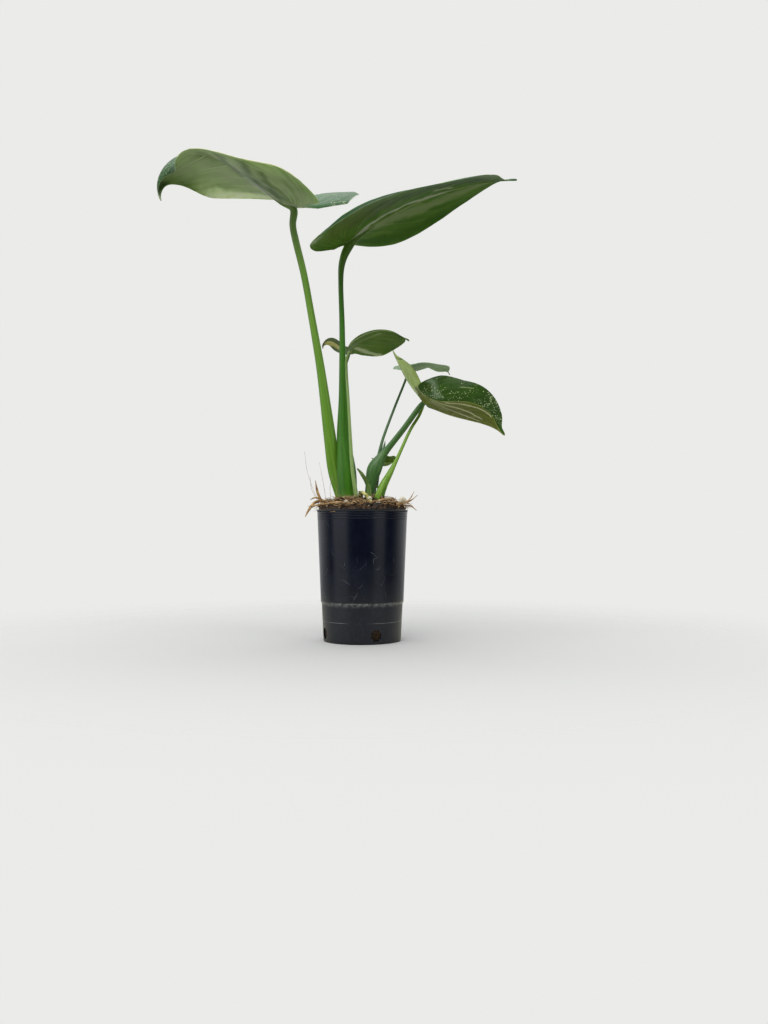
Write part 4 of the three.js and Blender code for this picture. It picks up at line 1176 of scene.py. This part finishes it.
def crumbs(top, name, density, size, flat, seed, material):
    """Bark crumbs, chips or grit, each broken out of round, lying in the top of the mix."""
    grow = Growth(name, Density=density, Size=size, Seed=seed, Material=material)
    ball = grow.take("GeometryNodeMeshIcoSphere", {"Radius": 0.5, "Subdivisions": 2})
    turn = grow.random((-0.7, -0.7, 0), (0.7, 0.7, 2 * math.pi), seed + 1, "FLOAT_VECTOR")
    stretch = grow.random((0.5, 0.35, 0.25 * flat), (1.5, 0.9, 0.7 * flat), seed + 2, "FLOAT_VECTOR")
    scale = vector_maths(grow.tree, "SCALE", stretch, Scale=grow.given("Size"))
    return grow.grown(grow.moved(grow.scattered(ball, turn, scale), 420.0, size * 0.8, 2.0), top)


def loose(name, routes, depth, material):
    """Single pieces that stick out of the mix, each through its own points."""
    shells = [(stalk(route, sides=10, steps=5, depth=depth, grain=0.03), 0) for route in routes]
    return piece_of(name, shells, [material])


def potting_mix():
    heap = mix_heap()
    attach(heap, "root")
    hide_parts("potting_mix")
    top = top_of(heap)
    tan = tinted_finish("tan_husk_fibre", 0x5C452C, 0xA0835C, 0xDCC49C)
    dark = tinted_finish("dark_husk_fibre", 0x1E150C, 0x3E2E1C, 0x6C5234)
    bark = tinted_finish("bark", 0x150E08, 0x38271A, 0x84623F, grain=900.0, stretch=(1, 1, 3))
    straw = tinted_finish("straw", 0x6E4E2E, 0xB48E5E, 0xE2C698)
    grit = tinted_finish("pale_grit", 0xB9AE95, 0xDDD4BE, 0xF0EADA, roughness=0.7)
    # Fibres: how many a square metre, length, radius and lift in metres, and the seed. Crumbs: how many a
    # square metre, size in metres, flatness and the seed.
    made = [
        husk_fibres(top, "tan_fibres", 26000, 0.022, 0.0002, 0.004, 11, tan),
        husk_fibres(top, "straw_fibres", 26000, 0.024, 0.00032, 0.0025, 17, straw),
        husk_fibres(top, "dark_fibres", 40000, 0.018, 0.0003, 0.002, 23, dark),
        crumbs(top, "bark_crumbs", 60000, 0.0034, 1.0, 31, bark),
        crumbs(top, "bark_chips", 12000, 0.0085, 0.45, 47, bark),
        loose("loose_slivers", SLIVERS, 0.45, straw),
        loose("root_hairs", ROOT_HAIRS, 1.0, tan),
        loose("pale_chips", PALE_CHIPS, 0.6, grit),
        crumbs(top, "grit_grains", 9000, 0.0026, 1.4, 59, grit),
    ]
    bpy.data.objects.remove(top)
    for piece in made:
        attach(piece, "root")


# Crown, root and dried sheath


def root_finish():
    material, tree = new_material("pale_root")
    along, around = map_place(tree)
    bands = noise(vector(along * 16.0, around * 2.0), 1.0, 4.0)
    stain = noise(object_place(tree), 260.0, 4.0)
    colour = mixed(bands.ramp(0.38, 0.62), 0x8E8A3C, 0xD2CB88)
    colour = mixed(stain.ramp(0.55, 0.7) * 0.6, colour, 0x5E4A26)
    return dressed(material, colour, bands, 0.5, 0.0005, 0.6)


def sheath_finish():
    material, tree = new_material("dry_sheath")
    along, around = map_place(tree)
    fibres = noise(vector(along * 3.0, around * 24.0), 1.0, 5.0)
    colour = mixed(fibres.ramp(0.35, 0.7), 0x3E6416, 0x86A058)
    return dressed(material, colour, fibres, 0.6, 0.0004, 0.8)


def crown_and_sheath():
    shells = [(stalk(CROWN, grain=0.02), 0), (stalk(ROOT, sides=24, grain=0.05, depth=0.9), 0)]
    crown = piece_of("crown_and_thick_root", shells, [root_finish()])
    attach(crown, "root")
    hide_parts("crown_and_root")
    shells = [(stalk(SHEATH, depth=SHEATH_DEPTH, grain=0.06), 0)]
    strip = piece_of("dried_leaf_sheath", shells, [sheath_finish()])
    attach(strip, "root")
    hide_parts("dried_sheath")


# Camera, light and floor

CAMERA_PLACE = (0.0214, -0.827, 0.1024)
CAMERA_TILT = 1.64
FOCAL_PIXELS = 838
FRAME_HEIGHT = 1024
SENSOR = 36
BACKDROP = 0xEBEBE9

# Windows, as angles round the plant from straight in front of it, and how bright each is.
LEFT_WINDOW = (-80, -36, 1.15)
RIGHT_WINDOW = (32, 62, 0.95)
WINDOW_BLUR = 5
WINDOW_SILL = -0.1
FRONT_LEVEL = 0.06
BACK_LEVEL = 0.65
CEILING_LEVEL = 0.9
SKY_TINT = (0.97, 0.99, 1, 1)

# The floor in metres: its radius, and where it begins and ends to fade.
FLOOR_RADIUS = 3.0
FLOOR_FADE = (0.12, 0.6)
FLOOR_THROWN = 0xC2C0AE
FLOOR_SEEN = 0xBDBDBB


def camera():
    data = bpy.data.cameras.new("camera")
    data.sensor_width = SENSOR
    data.lens = FOCAL_PIXELS / FRAME_HEIGHT * SENSOR
    data.clip_start = 0.01
    item = placed("camera", data)
    item.location = CAMERA_PLACE
    item.rotation_euler = (math.radians(90 + CAMERA_TILT), 0, 0)
    bpy.context.scene.camera = item


def softbox(name, place, turn, size, power):
    """A soft light, turned from facing straight down."""
    data = bpy.data.lights.new(name, "AREA")
    data.shape = "RECTANGLE"
    data.size, data.size_y = size
    data.energy = power
    item = placed(name, data)
    item.location = place
    item.rotation_euler = [math.radians(angle) for angle in turn]
    item.visible_camera = False


def seen_by_camera(tree):
    return take(tree, "ShaderNodeLightPath", outlet="Is Camera Ray")


def surroundings():
    """A pale even backdrop for the camera. The plant is lit from behind, from above and by two windows."""
    world = bpy.data.worlds.new("studio")
    bpy.context.scene.world = world
    world.use_nodes = True
    tree = world.node_tree
    tree.nodes.clear()
    x, y, z = take(tree, "ShaderNodeTexCoord", outlet="Generated").parts()
    turn = x.maths("ARCTAN2", y * -1.0)
    level = y.ramp(-0.15, 0.5) * (BACK_LEVEL - FRONT_LEVEL) + FRONT_LEVEL
    for start, end, strength in (LEFT_WINDOW, RIGHT_WINDOW):
        opens = turn.ramp(math.radians(start - WINDOW_BLUR), math.radians(start + WINDOW_BLUR))
        closes = turn.ramp(math.radians(end + WINDOW_BLUR), math.radians(end - WINDOW_BLUR))
        level = level.maths("MAXIMUM", opens * closes * strength)
    level = level * z.ramp(WINDOW_SILL - 0.03, WINDOW_SILL + 0.05, 0.2, 1.0)
    level = level + z.ramp(0.3, 0.9) * CEILING_LEVEL
    lit = take(tree, "ShaderNodeBackground", {"Color": SKY_TINT, "Strength": level})
    seen = take(tree, "ShaderNodeBackground", {"Color": linear(BACKDROP), "Strength": 1.0})
    both = take(tree, "ShaderNodeMixShader", {0: seen_by_camera(tree), 1: lit, 2: seen})
    node(tree, "ShaderNodeOutputWorld", {"Surface": both})


def floor():
    """A pale floor, which fades into the backdrop. The light it throws back is a little warmer."""
    work = bmesh.new()
    bmesh.ops.create_circle(work, cap_ends=True, segments=96, radius=FLOOR_RADIUS)
    item = built("studio_floor", work)
    material, tree = new_material("pale_floor")
    sockets = tree.nodes["Principled BSDF"].inputs
    feed(sockets["Roughness"], 0.95)
    feed(sockets["Specular IOR Level"], 0.1)
    feed(sockets["Base Color"], mixed(seen_by_camera(tree), FLOOR_THROWN, FLOOR_SEEN))
    opaque = Value(tree.nodes["Principled BSDF"].outputs[0])
    fade = vector_maths(tree, "LENGTH", object_place(tree)).ramp(*FLOOR_FADE)
    both = take(tree, "ShaderNodeMixShader", {0: fade, 1: opaque, 2: take(tree, "ShaderNodeBsdfTransparent")})
    feed(tree.nodes["Material Output"].inputs["Surface"], both)
    item.data.materials.append(material)


def studio():
    camera()
    surroundings()
    floor()
    softbox("top_softbox", place=(-0.1, 0.15, 1.5), turn=(0, 0, 0), size=(1.0, 1.0), power=6)
    softbox("front_softbox", place=(-0.25, -1.25, 1.35), turn=(48, 0, -11), size=(1.0, 0.7), power=13)
    scene = bpy.context.scene
    scene.view_settings.view_transform = "Standard"
    scene.view_settings.look = "None"


leaves()
pot()
potting_mix()
crown_and_sheath()
studio()
